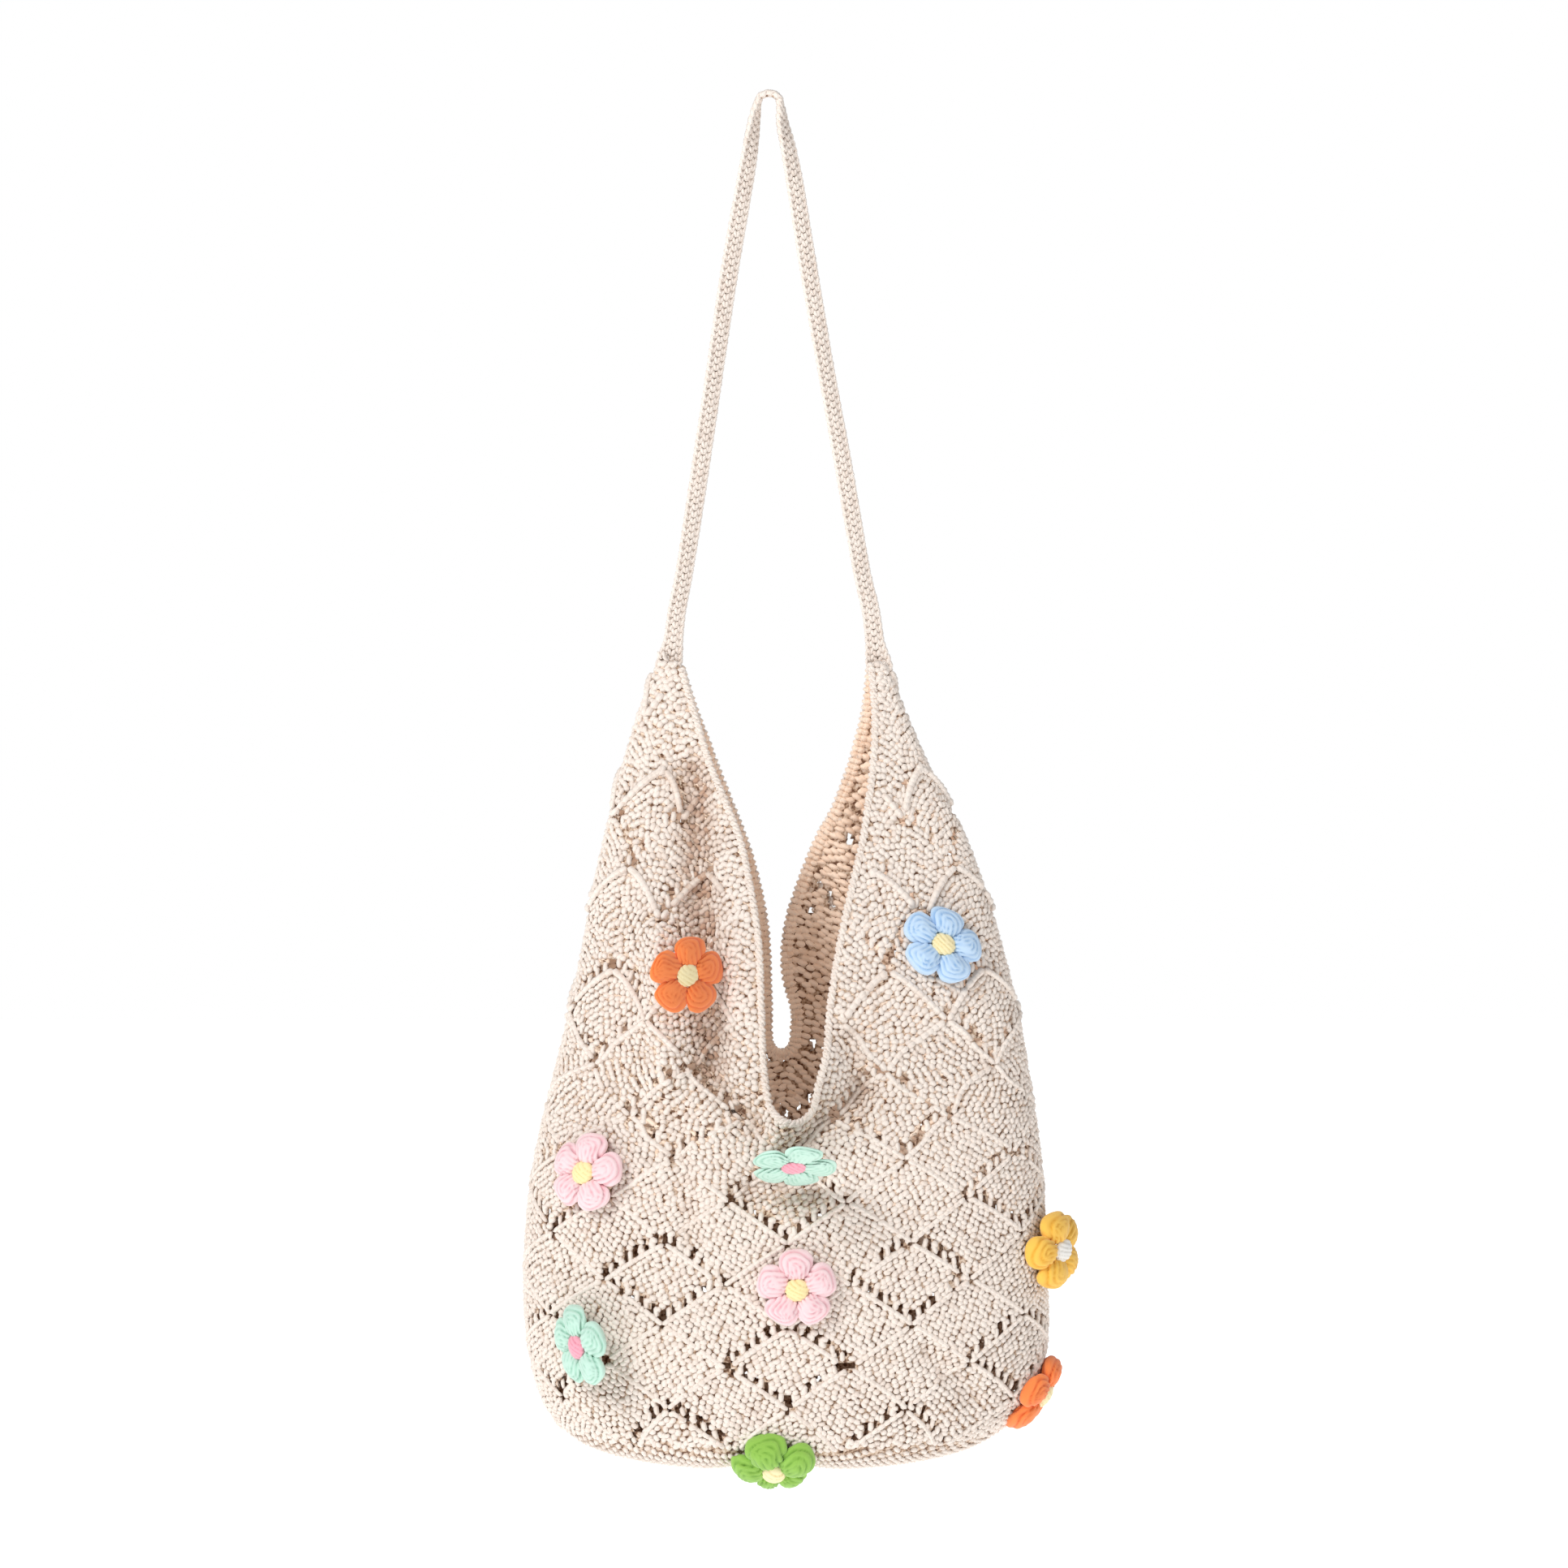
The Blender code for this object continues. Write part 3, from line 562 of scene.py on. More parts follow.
LOWEST_FLOWER = min(FLOWERS, key=lambda flower: flower["height"])
HELD = UNFOLDED.point(*flower_seat(LOWEST_FLOWER))[0]
WALL = Wall(HELD)


# Materials


def linear(colour):
    """An sRGB hex colour as linear values with alpha."""
    parts = [int(colour[i : i + 2], 16) / 255 for i in (1, 3, 5)]
    return [p / 12.92 if p < 0.04045 else ((p + 0.055) / 1.055) ** 2.4 for p in parts] + [1]


def add(tree, kind, links=(), values=(), **settings):
    """Adds a node with its settings and values, and links (input, node, output) into it."""
    node = tree.nodes.new(kind)
    for key, value in settings.items():
        setattr(node, key, value)
    for socket, value in values:
        node.inputs[socket].default_value = value
    for socket, source, output in links:
        tree.links.new(source.outputs[output], node.inputs[socket])
    return node


def plain_material(name, finish):
    """A new material with plain values on its shader's sockets, and that shader."""
    material = bpy.data.materials.new(name)
    material.use_nodes = True
    shader = material.node_tree.nodes["Principled BSDF"]
    for socket, value in finish.items():
        shader.inputs[socket].default_value = value
    return material, shader


def yarn(name, lit, shade, deep=None, painted_glow=0.0, blotches=80.0, places=(0.0, 0.2, 0.72)):
    """Spun cotton or acrylic yarn: matt, a little fuzzy, its plies a fine twist.
    The emission strength is a painted glow for the daylight that comes through the open
    knit, and places are where the deep shade, shade and lit colours stand between dark and
    light yarn."""
    material, shader = plain_material(name, {**FUZZY, "Emission Strength": painted_glow})
    tree = material.node_tree
    at_place = [("Vector", add(tree, "ShaderNodeTexCoord"), "Object")]
    # Blotches of about 12 mm, where the yarn was spun a little darker or lighter, or of
    # about 3 mm between the stitches, painted shade that makes some gaps look deeper than others
    cloud = add(tree, "ShaderNodeTexNoise", at_place, [("Scale", blotches), ("Detail", 3.0)])
    # Each point's random tone, with painted shade down in the wall's folds and in the flowers'
    # grooves
    tone_and_shade = add(tree, "ShaderNodeAttribute", attribute_name="tone_and_shade")
    shades = add(tree, "ShaderNodeMath", [(0, cloud, "Fac"), (1, tone_and_shade, "Fac")], operation="ADD")
    # The sum of both, brought to the length of the ramp
    lightness = add(tree, "ShaderNodeMath", [(0, shades, 0)], [(1, 0.62)], operation="MULTIPLY")
    colour = add(tree, "ShaderNodeValToRGB", [("Fac", lightness, 0)])
    stops = colour.color_ramp.elements
    stops[0].position, stops[0].color = places[1], linear(shade)
    stops[1].position, stops[1].color = places[2], linear(lit)
    if deep:
        stops.new(places[0]).color = linear(deep)
    tree.links.new(colour.outputs["Color"], shader.inputs["Base Color"])
    # Plies about 0.7 mm apart
    ply = add(tree, "ShaderNodeTexNoise", at_place, [("Scale", 1400.0), ("Detail", 2.0)])
    depth = [("Strength", 0.35), ("Distance", 0.0004)]
    bump = add(tree, "ShaderNodeBump", [("Height", ply, "Fac")], depth)
    tree.links.new(bump.outputs["Normal"], shader.inputs["Normal"])
    # The yarn's own colour as emission: a painted glow, off unless its strength is set
    tree.links.new(colour.outputs["Color"], shader.inputs["Emission Color"])
    return material


MATERIALS = {name: yarn(f"{name}_yarn", *colours) for name, colours in YARNS.items()}
# Inside the bag the yarn has warmer, darker colours, painted shade, and a painted glow
MATERIALS["inside"] = yarn("cotton_inside_the_bag", "#F0D9C5", "#D6B192", painted_glow=0.18)
# Cloth between the stitches: darker colours and a deep brown, painted shade of the gaps
MATERIALS["between"] = yarn(
    "cotton_between_stitches",
    lit="#E6D4C4",
    shade="#C6A98F",
    deep="#6E4C37",
    blotches=380.0,
    places=(0.25, 0.31, 0.38),
)


# Shapes


def shape_of(bm):
    """Points and faces of a finished bmesh, for laying many copies."""
    bm.normal_update()
    bmesh.ops.recalc_face_normals(bm, faces=bm.faces)
    points = np.array([vert.co[:] for vert in bm.verts])
    bm.verts.index_update()
    faces = [[vert.index for vert in face.verts] for face in bm.faces]
    bm.free()
    return points, faces


def short_loop(sides=4, bend=110):
    """A short loop of yarn as an arch along X. It is 1 long each way and 1 thick each way,
    and both ends go down into the cloth."""
    bm = bmesh.new()
    thick = 0.35
    upright = Matrix.Translation((0, 0, 1)) @ Matrix.Rotation(math.pi / 2, 4, "Y")
    ring = bmesh.ops.create_circle(bm, segments=sides, radius=thick, matrix=upright)["verts"]
    half = math.radians(bend) / 2
    bmesh.ops.rotate(bm, verts=ring, cent=(0, 0, 0), matrix=Matrix.Rotation(-half, 3, "Y"))
    geom = bm.verts[:] + bm.edges[:]
    bmesh.ops.spin(bm, geom=geom, axis=(0, 1, 0), cent=(0, 0, 0), angle=2 * half, steps=4)
    for sign in (-1, 1):
        end = [v for v in bm.verts if abs(math.atan2(v.co.x, v.co.z) - sign * half) < 1e-3]
        middle = sum((v.co for v in end), Vector()) / len(end)
        bmesh.ops.pointmerge(bm, verts=end, merge_co=middle)
    points, faces = shape_of(bm)
    points[:, 0] /= math.sin(half)
    points[:, 1] /= thick
    points[:, 2] = (points[:, 2] - 1) / thick
    return points, faces


def smooth_mesh(name, bm):
    """A smoothly shaded mesh of a finished bmesh."""
    mesh = bpy.data.meshes.new(name)
    bm.to_mesh(mesh)
    bm.free()
    mesh.shade_smooth()
    return mesh


def linked(name, data):
    """A new object in the scene."""
    obj = bpy.data.objects.new(name, data)
    bpy.context.scene.collection.objects.link(obj)
    return obj


def store_tone_and_shade(mesh, values):
    """Stores each point's random tone and painted shade, for its material."""
    tone_and_shade = mesh.attributes.new("tone_and_shade", "FLOAT", "POINT")
    tone_and_shade.data.foreach_set("value", values.astype(np.float32))


def varied(half, count, least, most):
    """Half sizes of many loops, each a little smaller or larger."""
    return np.array(half) * rng.uniform(least, most, (count, 3))


def sewn(name, shape, at, along, out, size, material, node=None, slot="cotton_wall", painted_shade=0):
    """One piece of many copies of a shape. along and out turn each copy's X and Z, size
    is its half length, half width and half height, and the last argument is the painted
    shade of a fold that darkens each copy."""
    points, faces = shape
    count = len(at)
    size = np.broadcast_to(size, (count, 3))
    out = unit(out)
    along = unit(along - out * (along * out).sum(axis=1, keepdims=True))
    axes = np.stack([along, np.cross(out, along), out], axis=1)
    spread = points[None] * size[:, None, :]
    world = at[:, None] + np.einsum("nvl,nlw->nvw", spread, axes)
    corners = np.array([i for face in faces for i in face])
    starts = np.cumsum([0] + [len(face) for face in faces])
    mesh = bpy.data.meshes.new(name)
    mesh.vertices.add(count * len(points))
    mesh.vertices.foreach_set("co", world.ravel())
    mesh.loops.add(count * len(corners))
    index = corners[None] + np.arange(count)[:, None] * len(points)
    mesh.loops.foreach_set("vertex_index", index.ravel().astype(np.int32))
    mesh.polygons.add(count * len(faces))
    start = starts[None, :-1] + np.arange(count)[:, None] * len(corners)
    mesh.polygons.foreach_set("loop_start", start.ravel().astype(np.int32))
    mesh.update(calc_edges=True)
    mesh.shade_smooth()
    # Each copy gets a random tone, darkened by the painted shade of the folds
    store_tone_and_shade(mesh, np.repeat(rng.uniform(0.35, 1.0, count) - painted_shade, len(points)))
    return dressed(name, mesh, material, node, slot)


def dressed(name, mesh, material, node=None, slot="cotton_wall"):
    """Links a finished mesh as a piece of the bag."""
    piece = linked(name, mesh)
    mesh.materials.append(material)
    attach(piece, "root")
    if node:
        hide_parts(node)
    return piece


# Knitted wall


def tile_middles():
    """Row and turn of the middle of each tile."""
    for row in range(-2, 18):
        for k in range(TILES_AROUND):
            yield row, (k + ((row + 1) % 2) / 2) / TILES_AROUND


def in_tile(row, turn, s, t):
    """Station and share around of a place in a tile. s runs up to the right and t up to
    the left, each from 0 to 1."""
    return WALL.tile_place(row + s + t - 1, turn + (s - t) / (2 * TILES_AROUND))


def framed(row, turn):
    """Whether a tile is one of those with eyelets along all its edges."""
    return row % 2 == 1 and (row // 2 + round(turn * TILES_AROUND)) % 2 == 0


def framed_edges(row, turn, share):
    """Places at a share of the way along the four edges of a framed tile."""
    low, high = 0.07, 1.05
    for s, t in ((share, low), (low, share), (share, high), (high, share)):
        yield in_tile(row, turn, s, t)


def band_at(around):
    """Width of the plain band along the rim, widest on the left of the front V."""
    around = np.mod(around, 1)
    front = np.where(around < 0.5, LEFT_BAND, RIGHT_BAND)
    return np.where(np.abs(around - 0.5) < 0.25, front, BACK_BAND)


def off_the_rim(station, around):
    """The way straight off the nearest rim, along the wall."""
    way = 0
    for rise, turn in ((0.002, 0.0), (0.0, 0.001)):
        step = WALL.point(station + rise, around + turn)[0]
        step = step - WALL.point(station - rise, around - turn)[0]
        gain = WALL.room(station + rise, around + turn) - WALL.room(station - rise, around - turn)
        way = way + step * (gain / (step**2).sum(axis=1))[:, None]
    return unit(way)


def painted_fold_shade(station, around):
    """Painted shade of the folds on the yarn, from 0 to about 1, by how far down in a fold
    it lies. It is painted stronger on the upper wall than lower down."""
    shade_strength = np.interp(WALL.height_at(station), PAINTED_SHADE_HEIGHTS, PAINTED_SHADE_STRENGTHS)
    return shade_strength * np.clip(-WALL.read(WALL.rise, station, around)[:, 0] / DEEP_FOLD, 0, 1)


def pierced(station):
    """Whether the wall has eyelets there: not at its very bottom or on the points' tips."""
    low, high = EYELET_HEIGHTS
    heights = WALL.height_at(station)
    return (heights > low) & (heights < high)


def make_eyelets():
    """The eyelets at the framed tiles' corners and along their edges: point, up, side and
    half sizes of each. Some are crossed by a thread, which leaves two small ones."""
    found = []
    for row, turn in tile_middles():
        if not framed(row, turn):
            continue
        for s, t in ((0, 0), (0, 1), (1, 0), (1, 1)):
            size = [rng.uniform(*ends) for ends in CORNER_EYELET]
            found.append((*in_tile(row, turn, s, t), 0, *size))
        for j in range(EYELETS_ON_EDGE):
            share = (j + 0.6 + rng.uniform(-0.1, 0.1)) / (EYELETS_ON_EDGE + 0.2)
            for place in framed_edges(row, turn, share):
                kind = rng.uniform()
                if kind > 0.45 and (row < 9 or kind > 0.75):
                    size = [rng.uniform(*ends) for ends in EDGE_EYELET]
                    found.append((*place, 0, *size))
                elif 0.1 < kind < 0.45:
                    for shift in (CROSSED_SHIFT, -CROSSED_SHIFT):
                        found.append((*place, shift, *CROSSED_EYELET))
    station, around, shift, wide, tall = np.array(found).T
    kept = (WALL.room(station, around) > band_at(around) + 0.002) & pierced(station)
    point, normal = WALL.point(station[kept], around[kept])
    up = upright(normal)
    sway = rng.uniform(-0.35, 0.35, len(up))[:, None]
    up = unit(up + np.cross(normal, up) * sway)
    point = point + up * shift[kept, None]
    return point, up, np.cross(up, normal), np.stack([wide, tall], axis=1)[kept]


def upright(normal):
    """The way up along the wall."""
    return unit(np.array([0, 0, 1.0]) - normal * normal[:, 2:])


EYELETS = make_eyelets()


def at_eyelet(points, margin):
    """Whether each point lies in an eyelet widened by a margin."""
    hit = np.zeros(len(points), bool)
    for point, up, side, (half_wide, half_tall) in zip(*EYELETS):
        away = points - point
        near = np.flatnonzero(np.abs(away).max(axis=1) < EYELET_REACH)
        wide = away[near] @ side / (half_wide + margin)
        tall = away[near] @ up / (half_tall + margin)
        hit[near[wide**2 + tall**2 < 1]] = True
    return hit


def make_cloth():
    """The cloth between the stitches, pierced at the eyelets."""
    bm = bmesh.new()
    for half in (0, 1):
        grid = bmesh.ops.create_grid(bm, x_segments=150, y_segments=140, size=0.5)["verts"]
        flat = np.array([vert.co[:2] for vert in grid]) + 0.5
        start, end = WALL.span(half, flat[:, 1])
        point, normal = WALL.point(flat[:, 1], start + (end - start) * flat[:, 0])
        for vert, place in zip(grid, point - normal * CLOTH_SINK):
            vert.co = place
    bmesh.ops.remove_doubles(bm, verts=bm.verts, dist=2e-5)
    faces = list(bm.faces)
    middles = np.array([face.calc_center_median()[:] for face in faces])
    holes = at_eyelet(middles, margin=0.0007)
    bmesh.ops.delete(bm, geom=[f for f, hole in zip(faces, holes) if hole], context="FACES")
    bmesh.ops.dissolve_degenerate(bm, edges=bm.edges, dist=1e-5)
    bmesh.ops.recalc_face_normals(bm, faces=bm.faces)
    mesh = smooth_mesh("cloth_of_the_wall", bm)
    # Its colours are painted shade of the gaps between the stitches
    cloth = dressed("cloth_of_the_wall", mesh, MATERIALS["between"], "bag_body")
    shell = cloth.modifiers.new("thickness", "SOLIDIFY")
    shell.thickness = CLOTH_THICKNESS
    shell.offset = -1


def along_row(row, turn, u, v, rising, step):
    """Places in a tile, u along a row of loops and v across it: station, share around, row
    among the tiles and the way the row runs, which is up to the right if rising."""
    ends = []
    for way in (-step, step, 0.0):
        s, t = (u + way, v) if rising else (v, u + way)
        ends.append(in_tile(row, turn, s, t))
    run = WALL.point(*ends[1])[0] - WALL.point(*ends[0])[0]
    return np.column_stack([*ends[2], row + s + t - 1, run])


def tile_stitches(row, turn, scale):
    """Stitches of one tile in offset rows, as along_row gives them, with the way each leans
    and its scale. Low down the tile is measured from its upper corner, because the lower
    one may lie under the bottom."""
    near = 0 if row > 6 else 1
    corners = ((near, near), (1 - near, near), (near, 1 - near))
    base, along_s, along_t = (WALL.point(*in_tile(row, turn, *st))[0] for st in corners)
    edges = np.linalg.norm(along_s - base), np.linalg.norm(along_t - base)
    along, up = edges if row % 2 else edges[::-1]
    count = max(int(round(along / (STITCH_PITCH * scale))), 3)
    rows = max(int(round(up / (ROW_PITCH * scale))), 3)
    i, j = (axis.ravel() for axis in np.meshgrid(np.arange(count), np.arange(rows)))
    side = np.where(j % 2, 1, -1)
    u = (i + 0.5 + side * STAGGER + rng.uniform(-JITTER, JITTER, i.shape)) / count
    v = (j + 0.5 + rng.uniform(-JITTER, JITTER, i.shape)) / rows
    places = along_row(row, turn, u, v, row % 2 == 1, 0.03)
    return np.column_stack([places, side, np.full(len(side), scale)])


def make_stitches(shape):
    """The stitches on the outer face, tile by tile, as four pieces around the bag."""
    found = []
    for row, turn in tile_middles():
        scale = BACK_SCALE if 0.27 < turn < 0.73 else 1.0
        found.append(tile_stitches(row, turn, scale))
    station, around, line, *run, side, scale = np.concatenate(found).T
    point, normal = WALL.point(station, around)
    room = WALL.room(station, around)
    kept = (room > 0.0016) & (line > BOTTOM_ROW) & (line < TOP_ROW)
    kept &= ~at_eyelet(point, margin=0.0014)
    band = (room < band_at(around))[kept, None]
    station, around, side, scale = station[kept], around[kept], side[kept], scale[kept]
    point, normal, run = point[kept], normal[kept], np.stack(run, axis=1)[kept]
    run = np.where(band, off_the_rim(station, around), unit(run))
    # Painted shade, darker down in the wall's folds
    painted_shade = painted_fold_shade(station, around)
    around = np.mod(around, 1)
    lean = (side * LEAN + rng.normal(0, LEAN_SPREAD, len(side)))[:, None]
    along = run * np.cos(lean) + unit(np.cross(normal, run)) * np.sin(lean)
    size = varied(np.array(STITCH_HALF) * scale[:, None], len(point), 0.86, 1.14)
    at = point + normal * (0.0001 + rng.uniform(-0.0003, 0.0003, len(point)))[:, None]
    names = ("back_left", "front_left", "front_right", "back_right")
    for k, name in enumerate(names):
        part = (around >= k / 4) & (around < (k + 1) / 4)
        piece = [values[part] for values in (at, along, normal, size)]
        sewn(f"stitches_{name}", shape, *piece, MATERIALS["cotton"], "bag_body", painted_shade=painted_shade[part])


def make_threads(shape):
    """Upright threads between the eyelets, and the small tuft at the left point."""
    found = []
    for row, turn in tile_middles():
        if framed(row, turn):
            for j in range(EYELETS_ON_EDGE + 1):
                found += framed_edges(row, turn, (j + 0.1) / (EYELETS_ON_EDGE + 0.2))
    station, around = np.array(found).T
    kept = (WALL.room(station, around) > 0.004) & pierced(station)
    point, normal = WALL.point(station[kept], around[kept])
    along = upright(normal) + rng.normal(0, 0.15, normal.shape)
    size = varied(THREAD_HALF, len(point), 0.9, 1.1)
    clear = ~at_eyelet(point, margin=0.0004)
    tuft = np.array(TUFT_PLACE) + rng.normal(0, 0.0012, (6, 3))
    point = np.concatenate([point[clear], tuft])
    along = np.concatenate([along[clear], rng.normal(0, 0.6, (6, 3)) + (-0.5, 0, 0.9)])
    normal = np.concatenate([normal[clear], np.tile((0.0, -1.0, 0.1), (6, 1))])
    size = np.concatenate([size[clear], np.tile(TUFT_HALF, (6, 1))])
    sewn("threads_between_eyelets", shape, point, along, normal, size, MATERIALS["cotton"])


def make_ridges(shape):
    """Smooth raised rows along the upper edges of the tiles, bold on the points."""
    found = []
    places = (np.arange(RIDGE_LOOPS) + 0.5) / RIDGE_LOOPS
    for row, turn in tile_middles():
        if row > 8 and row % 2 == 0:
            continue
        rim = np.full(RIDGE_LOOPS, 0.955 if framed(row, turn) else 0.98)
        for rising in (True, False):
            found.append(along_row(row, turn, places, rim, rising, 0.04))
    station, around, line, *along = np.concatenate(found).T
    along = np.stack(along, axis=1)
    point, normal = WALL.point(station, around)
    kept = (WALL.room(station, around) > band_at(around)) & (line > BOTTOM_ROW) & (line < 15.6)
    kept &= ~at_eyelet(point, margin=0.0002) & (rng.uniform(size=len(line)) < 0.94)
    # Painted shade, darker down in the wall's folds
    painted_shade = painted_fold_shade(station[kept], around[kept])
    point, normal, along, line = point[kept], normal[kept], along[kept], line[kept]
    bold = np.interp(line, [7, 10], [0, 1])[:, None]
    size = np.array(RIDGE_HALF) * (1 + bold * np.array([0.05, 0.35, 0.4]))
    size = varied(size, len(point), 0.92, 1.08)
    at = point + normal * (0.0006 + 0.0012 * bold)
    sewn("ridges", shape, at, along, normal, size, MATERIALS["cotton"], painted_shade=painted_shade)


def make_inner_stitches(shape):
    """Ribs on the inner face of the wedges and of the upper wall, seen through the Vs."""
    found = [tile_stitches(row, turn, INNER_SCALE) for row, turn in tile_middles() if row > 4]
    station, around, line, *_, side, _ = np.concatenate(found).T
    point, normal = WALL.point(station, around)
    kept = (WALL.room(station, around) > 0.002) & (line < TOP_ROW) & (line > 4.5)
    kept &= ~at_eyelet(point, margin=0.0012)
    point, normal, side = point[kept], normal[kept], side[kept]
    up = upright(normal)
    along = up * 0.45 + np.cross(up, normal) * np.where(point[:, 0] > 0.01, 1, -1)[:, None]
    along = along + up * (side * 0.15)[:, None]
    size = varied(RIB_HALF, len(point), 0.88, 1.12)
    at = point - normal * (CLOTH_SINK + CLOTH_THICKNESS + 0.0002)
    # In the yarn with painted shade of the bag's inside
    sewn("inner_ribs", shape, at, along, -normal, size, MATERIALS["inside"], "bag_body")


def make_bottom(shape):
    """Plain rows of stitches across the rounded bottom."""
    rows = np.arange(-0.075, 0.0751, BOTTOM_ROW_PITCH)
    x, y = np.meshgrid(np.arange(-0.18, 0.1801, BOTTOM_PITCH), rows, indexing="ij")
    x = (x + np.where(np.arange(len(rows)) % 2, BOTTOM_PITCH / 2, 0)[None, :]).ravel()
    y = y.ravel()
    shift = 0.024 * BODY_WIDTH
    reach = np.hypot((x - shift) / (BODY_WIDTH / 2), y / (BODY_DEPTH / 2))
    # The sections widen up to the seventh, so their widths give the station
    station = np.interp(reach, PROFILE["width"][:7], PROFILE["station"][:7])
    angle = np.arctan2(-(x - shift) / BODY_WIDTH, y / BODY_DEPTH)
    around = angle / (2 * math.pi)
    near = 1e-3
    point = hung(plain_wall(station, around), HELD)
    run = hung(plain_wall(station + near, around), HELD) - point
    turn = hung(plain_wall(np.maximum(station, near), around + near), HELD) - point
    normal = unit(np.cross(turn, run))
    limit, _ = WALL.tile_place(BOTTOM_ROW, 0.0)
    kept = (station < limit + 0.014) & (station > 0.002)
    point, normal = point[kept], normal[kept]
    normal[normal[:, 2] > 0] *= -1
    along = np.array([0.35, 1.0, 0]) + rng.normal(0, 0.12, (len(point), 3))
    size = varied(STITCH_HALF, len(point), 0.9, 1.12)
    sewn("bottom_stitches", shape, point, along, normal, size, MATERIALS["cotton"], "bag_body")


# Edgings and strap


def neck_rim(side):
    """Points and outward normals along one V, from the left point to the right one."""
    low = FRONT_NECK_HEIGHT if side == "front" else BACK_NECK_HEIGHT
    turn = np.linspace(0, math.pi / 2, 9)
    rounded = low + NECK_ROUNDING / BODY_HEIGHT * (1 - np.cos(turn))
    heights = np.concatenate([rounded[:-1], np.linspace(rounded[-1], 0.995, 90)])
    lines = []
    for edge in (1, 2) if side == "front" else (0, 3):
        around = [WALL.edges_at(h)[edge] for h in heights]
        lines.append(WALL.point(WALL.station_at(heights), np.array(around)))
    point = np.concatenate([lines[0][0][::-1], lines[1][0][1:]])
    normal = np.concatenate([lines[0][1][::-1], lines[1][1][1:]])
    return point, normal


def evenly_along(point, extra, pitch):
    """Places at an even pitch along a line, with its direction and what goes with it."""
    steps = np.linalg.norm(np.diff(point, axis=0), axis=1)
    length = np.concatenate([[0], np.cumsum(steps)])
    at = np.arange(pitch / 2, length[-1], pitch)

    def pick(values):
        return np.stack([np.interp(at, length, line) for line in values.T], axis=1)

    return pick(point), unit(pick(np.gradient(point, axis=0))), unit(pick(extra))


def make_edging(side, shape):
    """Rolled cords along one V: a knobbly one at the front, and at the back two side by
    side that are sewn over in rings. The rings that face into the bag are a piece of
    their own, in the yarn with painted shade of the bag's inside."""
    cords, coarse, lengthwise, stagger = EDGINGS[side]
    point, normal = neck_rim(side)
    place, along, out = evenly_along(point, normal, EDGING_PITCH)
    away = np.cross(out, along)
    away *= np.sign(away[np.argmin(place[:, 2]), 2])
    count = np.arange(len(place))
    # The second cord parts from the first over this many stitches from either point
    parting = 12
    from_end = np.clip(np.minimum(count, count[::-1]) / parting, 0, 1)[:, None]
    middles = []
    for reach in cords:
        spread = cords[0] + (reach - cords[0]) * from_end
        middles.append(place + away * spread - out * CORD_SINK)
    at, run, face, size, inward = [], [], [], [], []
    for middle in middles:
        for k, angle in enumerate(EDGING_ANGLES):
            turn = math.radians(angle)
            facing = out * math.cos(turn) + away * math.sin(turn)
            sideways = np.cross(facing, along)
            jitter = rng.uniform(-0.0006, 0.0006, len(place))[:, None]
            shift = along * (stagger * (k % 2) + jitter / coarse**4)
            at.append(middle + facing * CORD_RADIUS + shift)
            run.append(along * lengthwise + sideways)
            face.append(facing)
            half = np.array(EDGING_HALF) * (1, coarse, 1) * coarse
            size.append(varied(half, len(place), 0.85, 1.15))
            inward.append(np.full(len(place), side == "back" and math.cos(turn) < 0.3))
    pieces = [np.concatenate(values) for values in (at, run, face, size)]
    inward = np.concatenate(inward)
    name = f"{side}_neck_edging"
    outer = [values[~inward] for values in pieces]
    sewn(f"{name}_stitches", shape, *outer, MATERIALS["cotton"], name, "cotton_edging")
    if inward.any():
        inner = [values[inward] for values in pieces]
        inner_name = f"{name}_inner_stitches"
        # In the yarn with painted shade of the bag's inside
        sewn(inner_name, shape, *inner, MATERIALS["inside"], name, "cotton_edging")
    curve = bpy.data.curves.new(f"{name}_core", "CURVE")
    curve.dimensions = "3D"
    curve.bevel_depth = CORD_RADIUS
    curve.bevel_resolution = 1
    curve.use_fill_caps = True
    for middle in middles:
        spline = curve.splines.new("POLY")
        spline.points.add(len(middle) - 1)
        spline.points.foreach_set("co", np.column_stack([middle, np.ones(len(middle))]).ravel())
    core = linked(f"{name}_core", curve)
    graph = bpy.context.evaluated_depsgraph_get()
    mesh = bpy.data.meshes.new_from_object(core.evaluated_get(graph))
    bpy.data.objects.remove(core)
    # The core shows between the loops in the colours of painted shade
    dressed(f"{name}_core", mesh, MATERIALS["between"], name, "cotton_edging")


def through(values, per_span):
    """A smooth run of values through the given ones."""
    ends = np.concatenate([[2 * values[0] - values[1]], values, [2 * values[-1] - values[-2]]])
    run = []
    for a, b, c, d in zip(ends, ends[1:], ends[2:], ends[3:]):
        for t in np.arange(per_span) / per_span:
            run.append(
                0.5 * (2 * b + (c - a) * t + (2 * a - 5 * b + 4 * c - d) * t**2)
                + 0.5 * (3 * b - a - 3 * c + d) * t**3
            )
    return np.array(run + [values[-1]])


